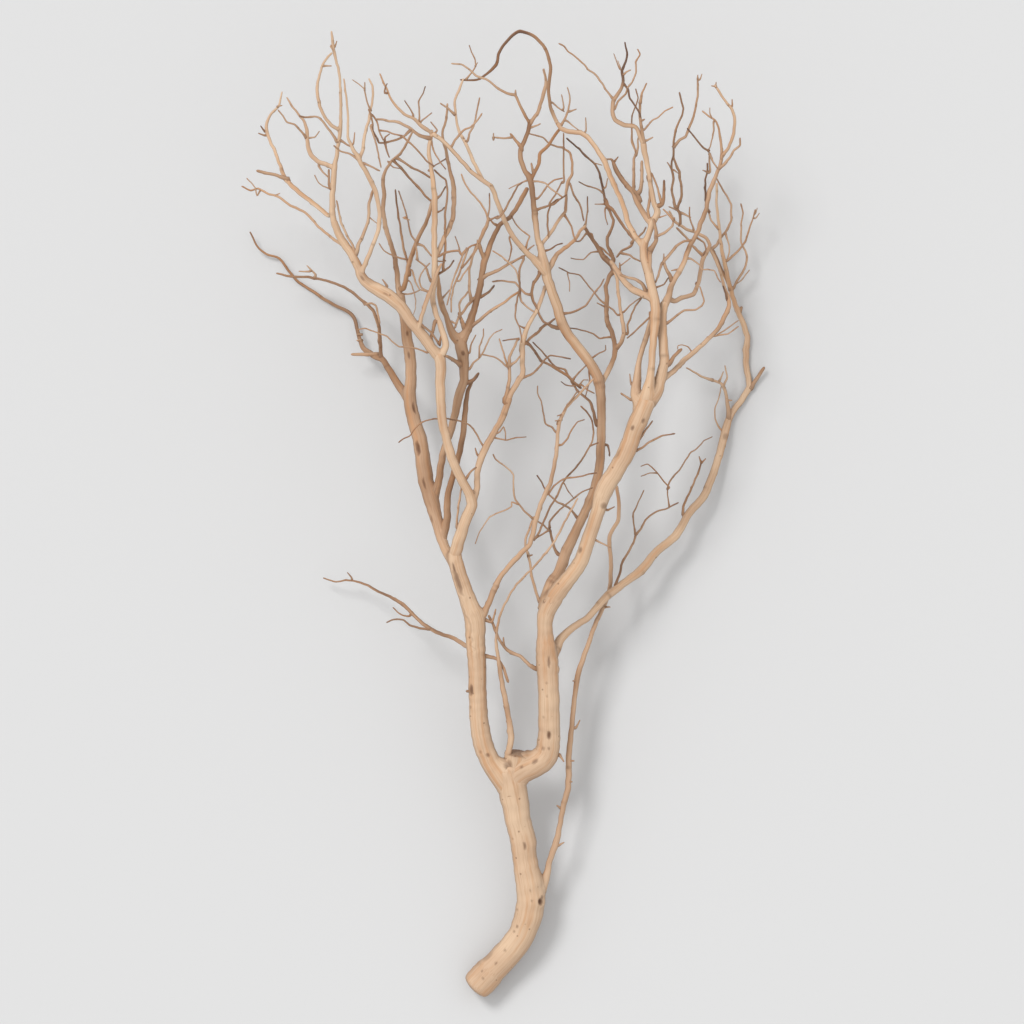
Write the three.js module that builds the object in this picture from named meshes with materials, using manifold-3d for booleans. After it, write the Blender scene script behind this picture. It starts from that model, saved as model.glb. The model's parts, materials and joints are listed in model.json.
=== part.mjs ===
// A fallen, weathered tree branch: one butt stem that forks into a fan of bare limbs and twigs.
// It lies on a flat surface as it fell, on its sawn butt and on the undersides of its outer limbs.
// Millimetres, +Z up. The stem runs along +Y from the sawn butt to the crown.
// Each limb is its own solid, split at the forks, and meets its parent in a saddle-shaped joint.
import * as THREE from "three";
import { mergeVertices } from "three/addons/utils/BufferGeometryUtils.js";
import Module from "manifold-3d";

const wasm = await Module();
wasm.setup();

// Driving dimensions, in millimetres.
const jointGap = 0.3; // clearance left round a limb where another grows out of it
const stoutRadius = 7.5; // a limb this thick somewhere is drawn with the most sides
const middleRadius = 4.3; // a limb thinner than this all along is drawn with the fewest
const stoutSides = 9;
const middleSides = 6;
const slenderSides = 5;

// How far a limb's end runs out past its last point, in end radii.
const tipLength = { fine: 2.2, fork: 0.8 };

// Weathered wood, from the pale sanded faces to the darker, more sheltered ones.
const woods = {
  pale: { color: 0xd6b18c, roughness: 0.78 },
  warm: { color: 0xc4986c, roughness: 0.8 },
  amber: { color: 0xb08a5e, roughness: 0.82 },
  brown: { color: 0x9c7350, roughness: 0.84 },
};

// The limbs, parents first. Each has the limbs it grows out of, its wood, its tip, and the points
// of its centre line with the radius there: [x, y, z, radius].
const limbs = [
  { name: "butt_stem", from: [], wood: "pale", tip: "fork", line: [
    [-27, 10, 15.3, 12.6], [-25.5, 11.5, 15.5, 14.8], [-6, 32, 18, 14.2], [10, 49, 21, 14], [21, 64, 25, 13.7], [28, 83, 29, 14],
    [31, 99, 33, 14.5], [29, 118, 37, 13.5], [25, 140, 41, 12.5], [23, 160, 45, 13],
    [18, 180, 49, 13], [15, 200, 53, 13.5], [12, 216, 57, 13.8], [9, 228, 60, 12.5]] },
  { name: "left_limb", from: ["butt_stem"], wood: "pale", tip: "fork", line: [
    [4, 212, 56, 10], [-4, 226, 60, 10.2], [-11, 241, 64, 9.8], [-16, 254, 67, 10], [-20, 272, 71, 9.6],
    [-22, 300, 77, 9], [-23, 340, 86, 9.2], [-24.5, 360, 90, 9.8], [-25, 380, 94, 10.3],
    [-31.5, 399, 98, 8.6], [-38.5, 420, 102, 7.6], [-44, 438, 105, 7.2], [-45, 446, 106, 6.6]] },
  { name: "right_limb", from: ["butt_stem", "left_limb"], wood: "pale", tip: "fork", line: [
    [8, 222, 58, 11], [22, 230, 60, 12], [35, 236, 62, 13], [46, 246, 64, 12.6], [49, 262, 67, 11.4],
    [49, 280, 71, 11], [49, 300, 75, 10.8], [48, 320, 79, 10.6], [47, 340, 83, 11], [46, 352, 86, 10],
    [45, 368, 89, 7.8], [45, 380, 92, 7.6], [48, 391, 94, 8.4], [54, 402, 97, 8.8]] },
  { name: "right_upper_limb", from: ["right_limb"], wood: "pale", tip: "fork", line: [
    [50, 396, 95, 8.2], [58, 409, 99, 8.6], [67, 420, 102, 8], [80, 438, 107, 7.3], [88, 460, 112, 7],
    [98, 490, 118, 7], [104, 510, 122, 9], [116, 530, 126, 8.7], [127, 550, 130, 9],
    [134, 570, 133, 9], [141, 586, 136, 9.2], [146, 598, 138, 8.6]] },
  { name: "right_dark_limb", from: ["right_limb", "right_upper_limb"], wood: "amber", tip: "fork", line: [
    [46, 394, 84, 5.5], [50, 414, 82, 6], [58, 427, 80, 5.4], [66, 448, 78, 5.5], [80, 478, 76, 4.6],
    [92, 505, 76, 4.4], [99, 530, 77, 4.5], [101, 560, 79, 4.5], [101, 600, 83, 4.6],
    [100, 614, 85, 5.2]] },
  { name: "outer_right_limb", from: ["right_limb"], wood: "pale", tip: "fork", line: [
    [47, 338, 80, 5], [56, 352, 75, 5], [60, 360, 72, 4.5], [68, 369, 69, 3.8], [88, 383, 63, 3.3],
    [106, 403, 57, 4], [128, 420, 50, 4], [140, 429, 46, 4.5], [157, 449, 39, 4.2],
    [176, 465, 33, 4.3], [190, 488, 27, 4], [204, 504, 22, 4], [213, 525, 17, 3.8],
    [221, 550, 12.5, 3.7], [225, 566, 9.5, 4], [231, 585, 6.5, 3.3], [243, 602, 4.4, 3],
    [250, 613, 3.5, 3]] },
  { name: "outer_right_leader", from: ["outer_right_limb"], wood: "pale", tip: "fork", line: [
    [250, 611, 3.5, 2.8], [249, 624, 3.3, 3], [247, 634, 3.3, 3.2], [247, 652, 4.5, 3.1],
    [248, 664, 6, 2.9], [243, 679, 9, 2.8], [236, 696, 13, 2.6], [231, 712, 17, 2.3],
    [226, 734, 23, 2.2], [222, 752, 28, 1.8], [220, 770, 33, 1.6], [217, 796, 40, 1.3],
    [217, 817, 46, 1.2]] },
  { name: "side_shoot", from: ["butt_stem"], wood: "warm", tip: "fine", line: [
    [38, 108, 33, 4.4], [46, 121, 35, 3.6], [50, 140, 38, 2.9], [56, 157, 40, 3.2], [60, 175, 42, 2.5],
    [63, 192, 44, 2.7], [68, 212, 46, 3], [69, 245, 49, 3], [72, 275, 51, 2.6], [75, 305, 53, 2.5],
    [78, 325, 54, 2.8], [88, 355, 54, 2.4], [97, 380, 53, 2.2], [103, 392, 50, 2.1],
    [109, 408, 46, 2.1], [111, 440, 47, 2], [110, 465, 50, 2], [118, 480, 53, 2], [119, 497, 56, 1.9],
    [117, 512, 59, 1.7]] },
  { name: "inner_shoot", from: ["left_limb", "right_limb", "butt_stem"], wood: "warm", tip: "fine", line: [
    [10, 236, 66, 3.8], [11, 262, 74, 3.2], [7, 292, 82, 2.7], [2, 318, 90, 2.5], [-2, 345, 98, 1.8],
    [-4, 360, 104, 1.4], [0, 385, 114, 1.2], [15, 414, 126, 1.1], [35, 435, 134, 1.1],
    [53, 457, 140, 1.1], [68, 485, 144, 1], [77, 501, 146, 0.8]] },
  { name: "left_inner_shoot", from: ["left_limb"], wood: "warm", tip: "fine", line: [
    [-22, 378, 94, 3.6], [-13, 393, 97, 3.2], [0, 423, 101, 2.7], [16, 442, 105, 2.6],
    [30, 457, 109, 2.6], [34.5, 475, 113, 2.5], [41, 497, 118, 2.4], [50, 517, 122, 2.2],
    [56, 545, 127, 2], [60, 580, 132, 1.8], [66, 592, 134, 1.5], [80, 607, 137, 1.2],
    [92, 620, 140, 1]] },
  { name: "outer_left_limb", from: ["left_limb"], wood: "amber", tip: "fork", line: [
    [-43, 436, 103, 5.6], [-53, 449, 96, 4.8], [-58, 460, 92, 4.8], [-63, 480, 86, 6],
    [-68.5, 500, 81, 7.5], [-74, 520, 76, 7.8], [-77, 540, 72, 7.7], [-80, 560, 68, 7.2],
    [-86, 580, 64, 6.8], [-90, 600, 61, 6.4], [-89, 625, 58, 5.6], [-90, 645, 56, 5.7],
    [-93, 662, 55, 5.4], [-95, 680, 54, 5], [-98, 693, 54, 4.6], [-99, 704, 54, 4]] },
  { name: "pale_left_limb", from: ["left_limb", "outer_left_limb"], wood: "pale", tip: "fork", line: [
    [-44.5, 438, 106, 6.8], [-41, 460, 112, 6.2], [-34.5, 480, 118, 5.6], [-28, 498, 123, 5.4],
    [-33, 511, 127, 4.6], [-40, 524, 131, 4.6], [-47.5, 541, 135, 4.7], [-53, 560, 139, 4.4],
    [-57.5, 580, 143, 4.6], [-59, 600, 147, 4.8], [-59.5, 620, 151, 5], [-59, 636, 154, 5.4],
    [-61, 644, 156, 5.2]] },
  { name: "pale_left_arm", from: ["pale_left_limb"], wood: "pale", tip: "fork", line: [
    [-58, 636, 154, 5.2], [-69, 653, 157, 5.4], [-80, 668, 160, 5.5], [-90, 680, 162, 5.6],
    [-98, 692, 163, 6], [-110, 703, 163, 6.8], [-120, 709, 162, 6.5], [-130, 715, 160, 5.8],
    [-137, 722, 158, 5], [-141, 732, 156, 4.4], [-147, 744, 155, 4.2], [-153, 753, 154, 4.1],
    [-160, 764, 153, 3.8], [-165, 777, 153, 3.4]] },
  { name: "left_leader", from: ["pale_left_arm"], wood: "pale", tip: "fine", line: [
    [-164, 773, 153, 3.2], [-167, 790, 154, 2.9], [-167, 802, 155, 2.8], [-166, 815, 157, 2.9],
    [-165, 829, 159, 2.6], [-163, 841, 161, 2.1], [-161, 855, 164, 1.9], [-159, 867, 167, 1.9],
    [-158.5, 879, 170, 1.7], [-158.5, 903, 176, 1.4], [-160, 926, 182, 1.3], [-163, 938, 185, 1.3],
    [-165, 946, 187, 1.7], [-167.4, 965, 192, 1]] },
  { name: "left_bow", from: ["left_leader"], wood: "pale", tip: "fine", line: [
    [-161, 862, 166, 1.9], [-167, 873, 171, 1.7], [-174, 881, 174, 1.6], [-179, 892, 176, 1.6],
    [-182, 909, 178, 1.5], [-180, 922, 180, 1.3], [-177, 931.5, 183, 1.2], [-172, 940.5, 187, 1.1],
    [-168.5, 944, 189, 1]] },
  { name: "left_crook", from: ["left_leader"], wood: "warm", tip: "fine", line: [
    [-164, 829, 159, 2.4], [-173, 834.6, 154, 2.3], [-182, 838.4, 150, 2.2], [-188, 844, 147, 2.2],
    [-191, 852, 144, 2.1], [-192.3, 861, 141, 2.1], [-192.5, 870, 138, 1.7], [-196, 879, 135, 1.3],
    [-202.5, 887, 131, 1.1], [-209, 896, 127, 1], [-212, 901, 125, 0.8]] },
  { name: "left_wand", from: ["pale_left_arm", "left_leader"], wood: "pale", tip: "fine", line: [
    [-163, 779, 151, 2.4], [-170, 784, 146, 2.2], [-183, 794, 140, 2.2], [-201, 808, 131, 2.3],
    [-214, 820.6, 124, 2.1], [-220, 836, 118, 1.7], [-224, 847, 113, 1.6], [-229, 858, 108, 1.5],
    [-233, 869, 104, 1.8], [-232.5, 878, 101, 1.4], [-228, 887, 98, 1.2], [-221.6, 893, 96, 1.1],
    [-218, 907, 92, 0.8]] },
  { name: "left_low_wand", from: ["pale_left_arm"], wood: "warm", tip: "fine", line: [
    [-153, 754, 153, 1.6], [-165, 760, 143, 1.4], [-180, 772, 132, 1.3], [-194, 787, 121, 1.3],
    [-210, 795, 111, 1.3], [-221, 803, 104, 1.2], [-233, 807, 97, 1.1], [-242, 811.6, 92, 1],
    [-249, 809.7, 87, 0.9], [-257, 813.5, 83, 0.8]] },
  { name: "outer_low_left_limb", from: ["outer_left_limb"], wood: "brown", tip: "fine", line: [
    [-90, 600, 58, 4.4], [-97, 609, 52, 4.2], [-104, 619, 45, 3.8], [-111, 631, 37, 3.3],
    [-117, 640, 31, 3], [-128, 646, 24, 2.8], [-136, 652, 19, 2.5], [-141, 662, 15, 2],
    [-143, 672, 12, 1.9], [-149, 687, 7.5, 1.8], [-160, 693, 4.6, 1.7], [-175, 701, 2.6, 1.6],
    [-188, 710, 2, 1.5], [-202, 719, 2, 1.4], [-211, 729, 3, 1.3], [-222, 743, 5, 1.2],
    [-234, 747, 7, 1.1], [-241, 752, 9, 1], [-250, 768, 13, 0.8]] },
  { name: "outer_low_left_fork", from: ["outer_low_left_limb"], wood: "brown", tip: "fine", line: [
    [-116, 639, 32, 2.4], [-120, 656, 34, 2], [-121, 672, 37, 1.8], [-127, 690, 41, 1.6],
    [-140, 702, 43, 1.5], [-155, 713, 45, 1.4], [-174, 720, 46, 1.3], [-192, 723.5, 47, 1.3],
    [-208, 724, 47, 1.2], [-222, 727, 47, 1]] },
  { name: "low_left_twig", from: ["left_limb"], wood: "brown", tip: "fine", line: [
    [-27, 349, 84, 2.6], [-36, 356, 78, 2.2], [-45, 361.5, 73, 2.1], [-65, 369, 64, 1.9],
    [-80, 379, 57, 1.8], [-95, 394, 49, 1.8], [-105, 401, 44, 1.6], [-120, 408, 38, 1.3],
    [-140, 418, 30, 1.1], [-155, 420, 24, 0.9], [-165, 418.5, 20, 0.8], [-176, 422, 16, 0.7]] },
  { name: "dark_left_branch", from: ["outer_left_limb"], wood: "amber", tip: "fork", line: [
    [-66, 506, 80, 4.2], [-61, 520, 86, 3.6], [-59, 535, 92, 3.5], [-56, 550, 98, 3.5],
    [-49, 570, 105, 3.6], [-44, 590, 111, 4], [-41, 605, 115, 4.4], [-36, 620, 119, 4.4],
    [-36, 632, 122, 4.9], [-37, 645, 125, 5.8], [-39, 655, 128, 6.2], [-40, 660, 129, 5.6]] },
  { name: "middle_left_strand", from: ["left_limb", "outer_left_limb", "pale_left_limb", "dark_left_branch"],
    wood: "brown", tip: "fine", line: [
    [-46, 440, 100, 3.6], [-50.5, 456, 97, 3.2], [-53, 480, 94, 3.8], [-52, 505, 96, 3.3],
    [-47, 524, 99, 3], [-41, 545, 103, 2.9], [-36.5, 568, 106, 2.9], [-34.5, 590, 108, 2.6],
    [-31, 612, 111, 1.8], [-28, 618, 112, 1.4]] },
  { name: "left_inner_limb", from: ["pale_left_limb"], wood: "warm", tip: "fork", line: [
    [-27, 500, 122, 3.6], [-23, 512, 120, 3], [-22.5, 528, 119, 3], [-19, 542, 119, 3.6],
    [-12, 557, 120, 3.5], [-4, 571, 121, 3.2], [2, 582, 122, 3.2], [7, 595, 123, 3.4],
    [9, 601, 124, 3.1]] },
  { name: "left_dark_shoot", from: ["outer_left_limb"], wood: "amber", tip: "fine", line: [
    [-99, 698, 54, 3.2], [-102, 713, 52, 2.6], [-103, 728, 50, 2.6], [-107, 750, 48, 2.4],
    [-113, 768, 46, 2.3], [-117, 790, 44, 2.2], [-116, 808, 44, 2.1], [-117, 823, 45, 1.8],
    [-113, 833, 46, 1.5], [-108, 840, 48, 1.4], [-99, 848, 51, 1.3], [-91, 862, 55, 1.2],
    [-87.5, 869, 58, 1]] },
  { name: "left_slant_shoot", from: ["outer_left_limb", "left_dark_shoot"], wood: "amber", tip: "fine",
    line: [
    [-98, 704, 55, 2.8], [-97, 712, 57, 2.6], [-93.5, 724, 62, 2.4], [-91, 736, 67, 2.3],
    [-84, 757, 76, 2.1], [-79, 768, 82, 2], [-74, 777, 88, 1.9], [-70, 790, 96, 1.8],
    [-66, 803, 104, 1.6]] },
  { name: "left_lean_shoot", from: ["pale_left_arm"], wood: "pale", tip: "fine", line: [
    [-137, 727, 158, 2.4], [-132, 741, 164, 2.2], [-127, 753, 168, 2.1], [-121, 770, 172, 2.1],
    [-120, 788, 175, 2.2], [-123.5, 806, 178, 2.4], [-128, 817, 180, 2.3], [-135, 830, 183, 2.4],
    [-141, 841, 186, 2.2], [-147, 851, 189, 1.7], [-151, 861, 192, 1.4], [-151, 880, 196, 1.1],
    [-153, 903, 200, 1], [-155, 918, 202, 0.8]] },
  { name: "left_lean_fork", from: ["left_lean_shoot"], wood: "pale", tip: "fine", line: [
    [-137, 834, 184, 2.2], [-137, 847, 182, 1.8], [-135, 862, 179, 1.6], [-131, 877, 176, 1.4],
    [-128.5, 890, 173, 1.2], [-126.5, 902, 171, 1.2], [-127, 913, 169, 1], [-130, 919, 167, 0.8]] },
  { name: "crown_left_pole", from: ["pale_left_limb", "pale_left_arm"], wood: "pale", tip: "fine", line: [
    [-58, 640, 155, 3.6], [-54, 655, 158, 3.4], [-57, 667, 159, 3.1], [-61.5, 680, 160, 2.7],
    [-66, 694, 161, 2.7], [-67, 706, 162, 2.9], [-65, 722, 163, 3.3], [-65, 740, 164, 3],
    [-65.5, 760, 165, 2.9], [-65, 780, 166, 2.9], [-65, 800, 167, 2.9], [-66.5, 816, 167, 2.4],
    [-69, 835, 167, 2], [-71, 850, 167, 1.9], [-69, 859, 167, 1.8], [-68, 866, 167, 1.5]] },
  { name: "crown_left_strand", from: ["dark_left_branch"], wood: "warm", tip: "fine", line: [
    [-42, 655, 128, 3.8], [-46, 664, 131, 3.4], [-50, 673, 134, 3], [-53, 682, 137, 2.7],
    [-57, 692, 140, 2.9], [-60, 702, 143, 2.7], [-61, 714, 147, 2.2], [-62.5, 724, 151, 2],
    [-63, 732, 156, 1.8]] },
  { name: "crown_left_cross", from: ["pale_left_arm"], wood: "warm", tip: "fine", line: [
    [-80, 668, 162, 2.4], [-78.5, 681, 168, 2.1], [-75, 693, 172, 2.1], [-70.5, 705, 174, 2.1],
    [-66, 717, 174, 1.9], [-62, 728, 172, 1.6], [-59, 734, 170, 1.2]] },
  { name: "crown_red_strand", from: ["crown_left_pole"], wood: "amber", tip: "fine", line: [
    [-64, 732, 164, 2.4], [-60, 750, 160, 2.4], [-56, 761, 157, 2.4], [-51, 770, 154, 2.3],
    [-47, 782, 151, 2.3], [-46, 795, 148, 2.4], [-46, 810, 145, 2.3], [-48, 822, 143, 2],
    [-51, 833, 141, 1.7], [-53, 845, 139, 1.6], [-55, 853, 138, 1.5], [-57.5, 866, 137, 1.3],
    [-53.5, 880, 136, 1.2], [-52.5, 894, 135, 1]] },
  { name: "inner_reach", from: ["dark_left_branch", "crown_left_strand"], wood: "brown", tip: "fork", line: [
    [-35, 656, 128, 3.6], [-33.5, 668, 128, 3.2], [-29, 680, 128, 3.4], [-25, 693, 128, 3.2],
    [-22, 704, 128, 3.2], [-19.5, 715, 128, 3.2], [-18, 725, 128, 3], [-16, 737, 128, 3.4],
    [-13, 745, 127, 3], [-9, 757, 124, 2.6], [-5, 766, 122, 2.4], [0, 775, 120, 2.2],
    [10, 783, 118, 2.2], [16, 791, 116, 2.2], [21, 800, 115, 2.4], [27, 811, 114, 2]] },
  { name: "inner_reach_fork", from: ["inner_reach"], wood: "warm", tip: "fine", line: [
    [-15, 741, 129, 2.2], [-19, 749, 132, 1.9], [-21, 757, 135, 1.8], [-18, 764, 138, 1.9],
    [-14, 773, 141, 1.9], [-11.5, 779, 143, 1.6], [-14, 787, 145, 1], [-19, 796, 147, 1],
    [-28, 806, 149, 0.9], [-35, 816, 151, 0.9], [-38, 824, 152, 0.8]] },
  { name: "inner_right_limb", from: ["left_inner_limb"], wood: "pale", tip: "fork", line: [
    [7, 597, 124, 2.9], [12, 609, 124, 2.9], [18, 618, 124, 2.9], [22, 625, 124, 2.7],
    [22.5, 640, 124, 2.6], [22.5, 656, 124, 2.9], [27, 672, 122, 2.3], [33, 683, 120, 2.1],
    [38, 692, 114, 2], [42, 703, 106, 2], [45, 713, 96, 2.2]] },
  { name: "centre_trunk", from: ["right_dark_limb"], wood: "pale", tip: "fork", line: [
    [100, 606, 84, 4.8], [99, 618, 86, 5], [94, 631, 88, 5.2], [85, 644, 91, 5], [74, 658, 94, 4.9],
    [66, 669, 96, 5], [61, 680, 98, 5.1], [57, 694, 101, 5], [52, 708, 104, 4.8],
    [47, 723, 107, 4.8], [44, 737, 110, 4.8], [42, 747, 112, 3.9], [40, 755, 113, 3.4]] },
  { name: "centre_leader", from: ["centre_trunk"], wood: "brown", tip: "fork", line: [
    [40.5, 751, 112, 3.3], [37, 765, 114, 2.9], [35, 783, 116, 3], [33, 800, 118, 2.8],
    [32, 812, 119, 2.7], [30, 820, 120, 2.9], [25, 829, 121, 2.4], [21, 839, 122, 2.5],
    [20.5, 850, 123, 2.3], [25, 860, 124, 2.1], [28, 868, 125, 2.1], [30, 877, 126, 2.1]] },
  { name: "centre_tip", from: ["centre_leader"], wood: "warm", tip: "fine", line: [
    [30, 874, 126, 1.9], [33, 880, 127, 1.8], [38, 888, 129, 1.8], [41, 897, 131, 1.8],
    [44, 907, 133, 1.9], [46, 917, 135, 1.6], [44, 929, 138, 0.9]] },
  { name: "centre_curl", from: ["centre_leader", "centre_tip"], wood: "warm", tip: "fine", line: [
    [30, 875, 126, 1.7], [25, 884, 130, 1.5], [20, 894, 134, 1.4], [15, 904, 138, 1.4],
    [7, 906, 142, 1.3], [-1, 910, 146, 1.2], [-14, 920, 152, 1.1], [-24, 923, 156, 1.1],
    [-31, 930, 159, 1], [-38, 934, 161, 0.9], [-47, 935, 163, 0.8]] },
  { name: "centre_side", from: ["centre_leader"], wood: "brown", tip: "fork", line: [
    [31, 818, 120, 2.2], [35, 828, 118, 1.9], [39, 837, 116, 1.7], [40, 846, 114, 1.8],
    [46, 852, 112, 1.7], [51, 858, 110, 1.5], [55, 865, 108, 1.5], [59, 870, 107, 1.4]] },
  { name: "pale_diagonal", from: ["centre_trunk", "centre_leader", "crown_left_pole"], wood: "pale", tip: "fork", line: [
    [45, 727, 109, 3.8], [36, 738, 113, 3.5], [24, 750, 119, 2.8], [14, 762, 125, 2.6],
    [6, 776, 131, 2.4], [1, 788, 136, 2.4], [-4, 801, 141, 2.3], [-9, 813, 146, 2.3],
    [-16, 818, 149, 2.2], [-28, 827, 153, 2], [-38, 838, 158, 2], [-48, 849, 162, 2],
    [-58, 859, 165, 2.1], [-66, 864.5, 167, 2.4]] },
  { name: "diagonal_spray", from: ["pale_diagonal", "crown_left_pole"], wood: "warm", tip: "fine", line: [
    [-64, 864, 168, 2.2], [-73, 869.5, 170, 2.1], [-80, 874.5, 172, 1.9], [-87, 881, 174, 1.6],
    [-95, 884.5, 176, 1.4], [-103, 892, 178, 1.3], [-109, 901, 180, 1.1], [-114, 912, 182, 1],
    [-119, 923.5, 184, 0.8]] },
  { name: "diagonal_side", from: ["pale_diagonal"], wood: "pale", tip: "fine", line: [
    [-13, 816, 148, 2.1], [-21, 827, 146, 1.9], [-26, 837, 144, 1.8], [-30, 846, 142, 1.7],
    [-34, 856, 140, 1.7], [-40, 866, 138, 1.5], [-43, 877, 136, 1.3], [-44.5, 889, 134, 1.2],
    [-45, 899, 132, 1.2], [-40.5, 910, 130, 1.3], [-37, 919, 129, 1]] },
  { name: "centre_right_shoot", from: ["centre_trunk", "centre_leader"], wood: "amber", tip: "fine", line: [
    [43, 748, 112, 2.3], [45, 760, 108, 1.8], [52, 769, 105, 1.8], [60, 782, 101, 1.7],
    [65, 788, 99, 1.5], [66, 800, 96, 1.5], [67, 815, 93, 1.6], [72, 827, 90, 1.4],
    [72, 838, 88, 1.2], [70, 847, 86, 1.1], [64, 851.5, 84, 1]] },
  { name: "centre_right_arm", from: ["centre_trunk"], wood: "warm", tip: "fine", line: [
    [48, 726, 107, 3.2], [52, 737, 103, 2.8], [58, 747, 99, 2.2], [69, 755, 94, 1.8],
    [76, 762, 90, 1.7], [80, 769, 87, 1.6], [84, 773, 84, 1.6]] },
  { name: "dark_riser", from: ["right_dark_limb", "centre_trunk"], wood: "brown", tip: "fork", line: [
    [102, 615, 84, 3.2], [107, 627, 80, 2.7], [113, 640, 75, 2.5], [115, 650, 72, 2.3],
    [112, 668, 66, 2.4], [107, 680, 62, 2.3], [106.5, 694, 58, 2.2], [107, 703, 56, 2.1],
    [106, 714, 54, 1.9], [110, 725, 53, 2.2], [114, 731, 52, 3], [112, 736, 52, 3],
    [105, 742, 51, 2.8], [100, 750, 50, 2.4], [95, 758, 50, 1.9], [88, 768, 49, 1.7],
    [84.5, 774, 49, 1.8]] },
  { name: "pale_riser", from: ["dark_riser"], wood: "pale", tip: "fine", line: [
    [115, 647, 72, 2.1], [121, 658, 74, 2.1], [124, 667, 75, 2.2], [122, 681, 75, 1.8],
    [119.5, 698, 72, 1.6], [118, 712, 67, 1.6], [117, 722, 61, 1.6], [115.5, 727, 57, 1.5]] },
  { name: "right_left_strand", from: ["right_upper_limb"], wood: "warm", tip: "fork", line: [
    [139, 590, 136, 4], [136, 604, 132, 3.4], [137, 622, 129, 3], [139, 640, 127, 2.7],
    [143, 654, 126, 2.6], [147, 666, 127, 2.6], [150, 677, 129, 2.5], [152, 684, 131, 2.4]] },
  { name: "right_middle_strand", from: ["right_upper_limb", "right_left_strand"], wood: "pale", tip: "fork",
    line: [
    [145, 592, 139, 4.4], [147, 608, 141, 3.4], [150, 624, 142, 3], [151.5, 640, 142, 3.4],
    [152.5, 655, 141, 3.7], [154, 670, 140, 4.4], [155, 684, 139, 5.2], [154.5, 700, 138, 4.6],
    [151, 714, 138, 4.4], [148, 728, 138, 4.6], [144, 743, 139, 4.4], [143.5, 752, 139, 3.9],
    [145, 759, 139, 3.6]] },
  { name: "right_outer_strand", from: ["right_upper_limb", "right_middle_strand"], wood: "pale", tip: "fork",
    line: [
    [150, 592, 136, 5.4], [156, 608, 134, 5], [160, 622, 132, 4.8], [164, 640, 131, 5],
    [163, 655, 130, 4.7], [162, 671, 129, 4.7], [162, 685, 129, 4.5], [164, 696, 129, 4]] },
  { name: "right_leader", from: ["right_outer_strand", "right_middle_strand"], wood: "amber", tip: "fine",
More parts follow.
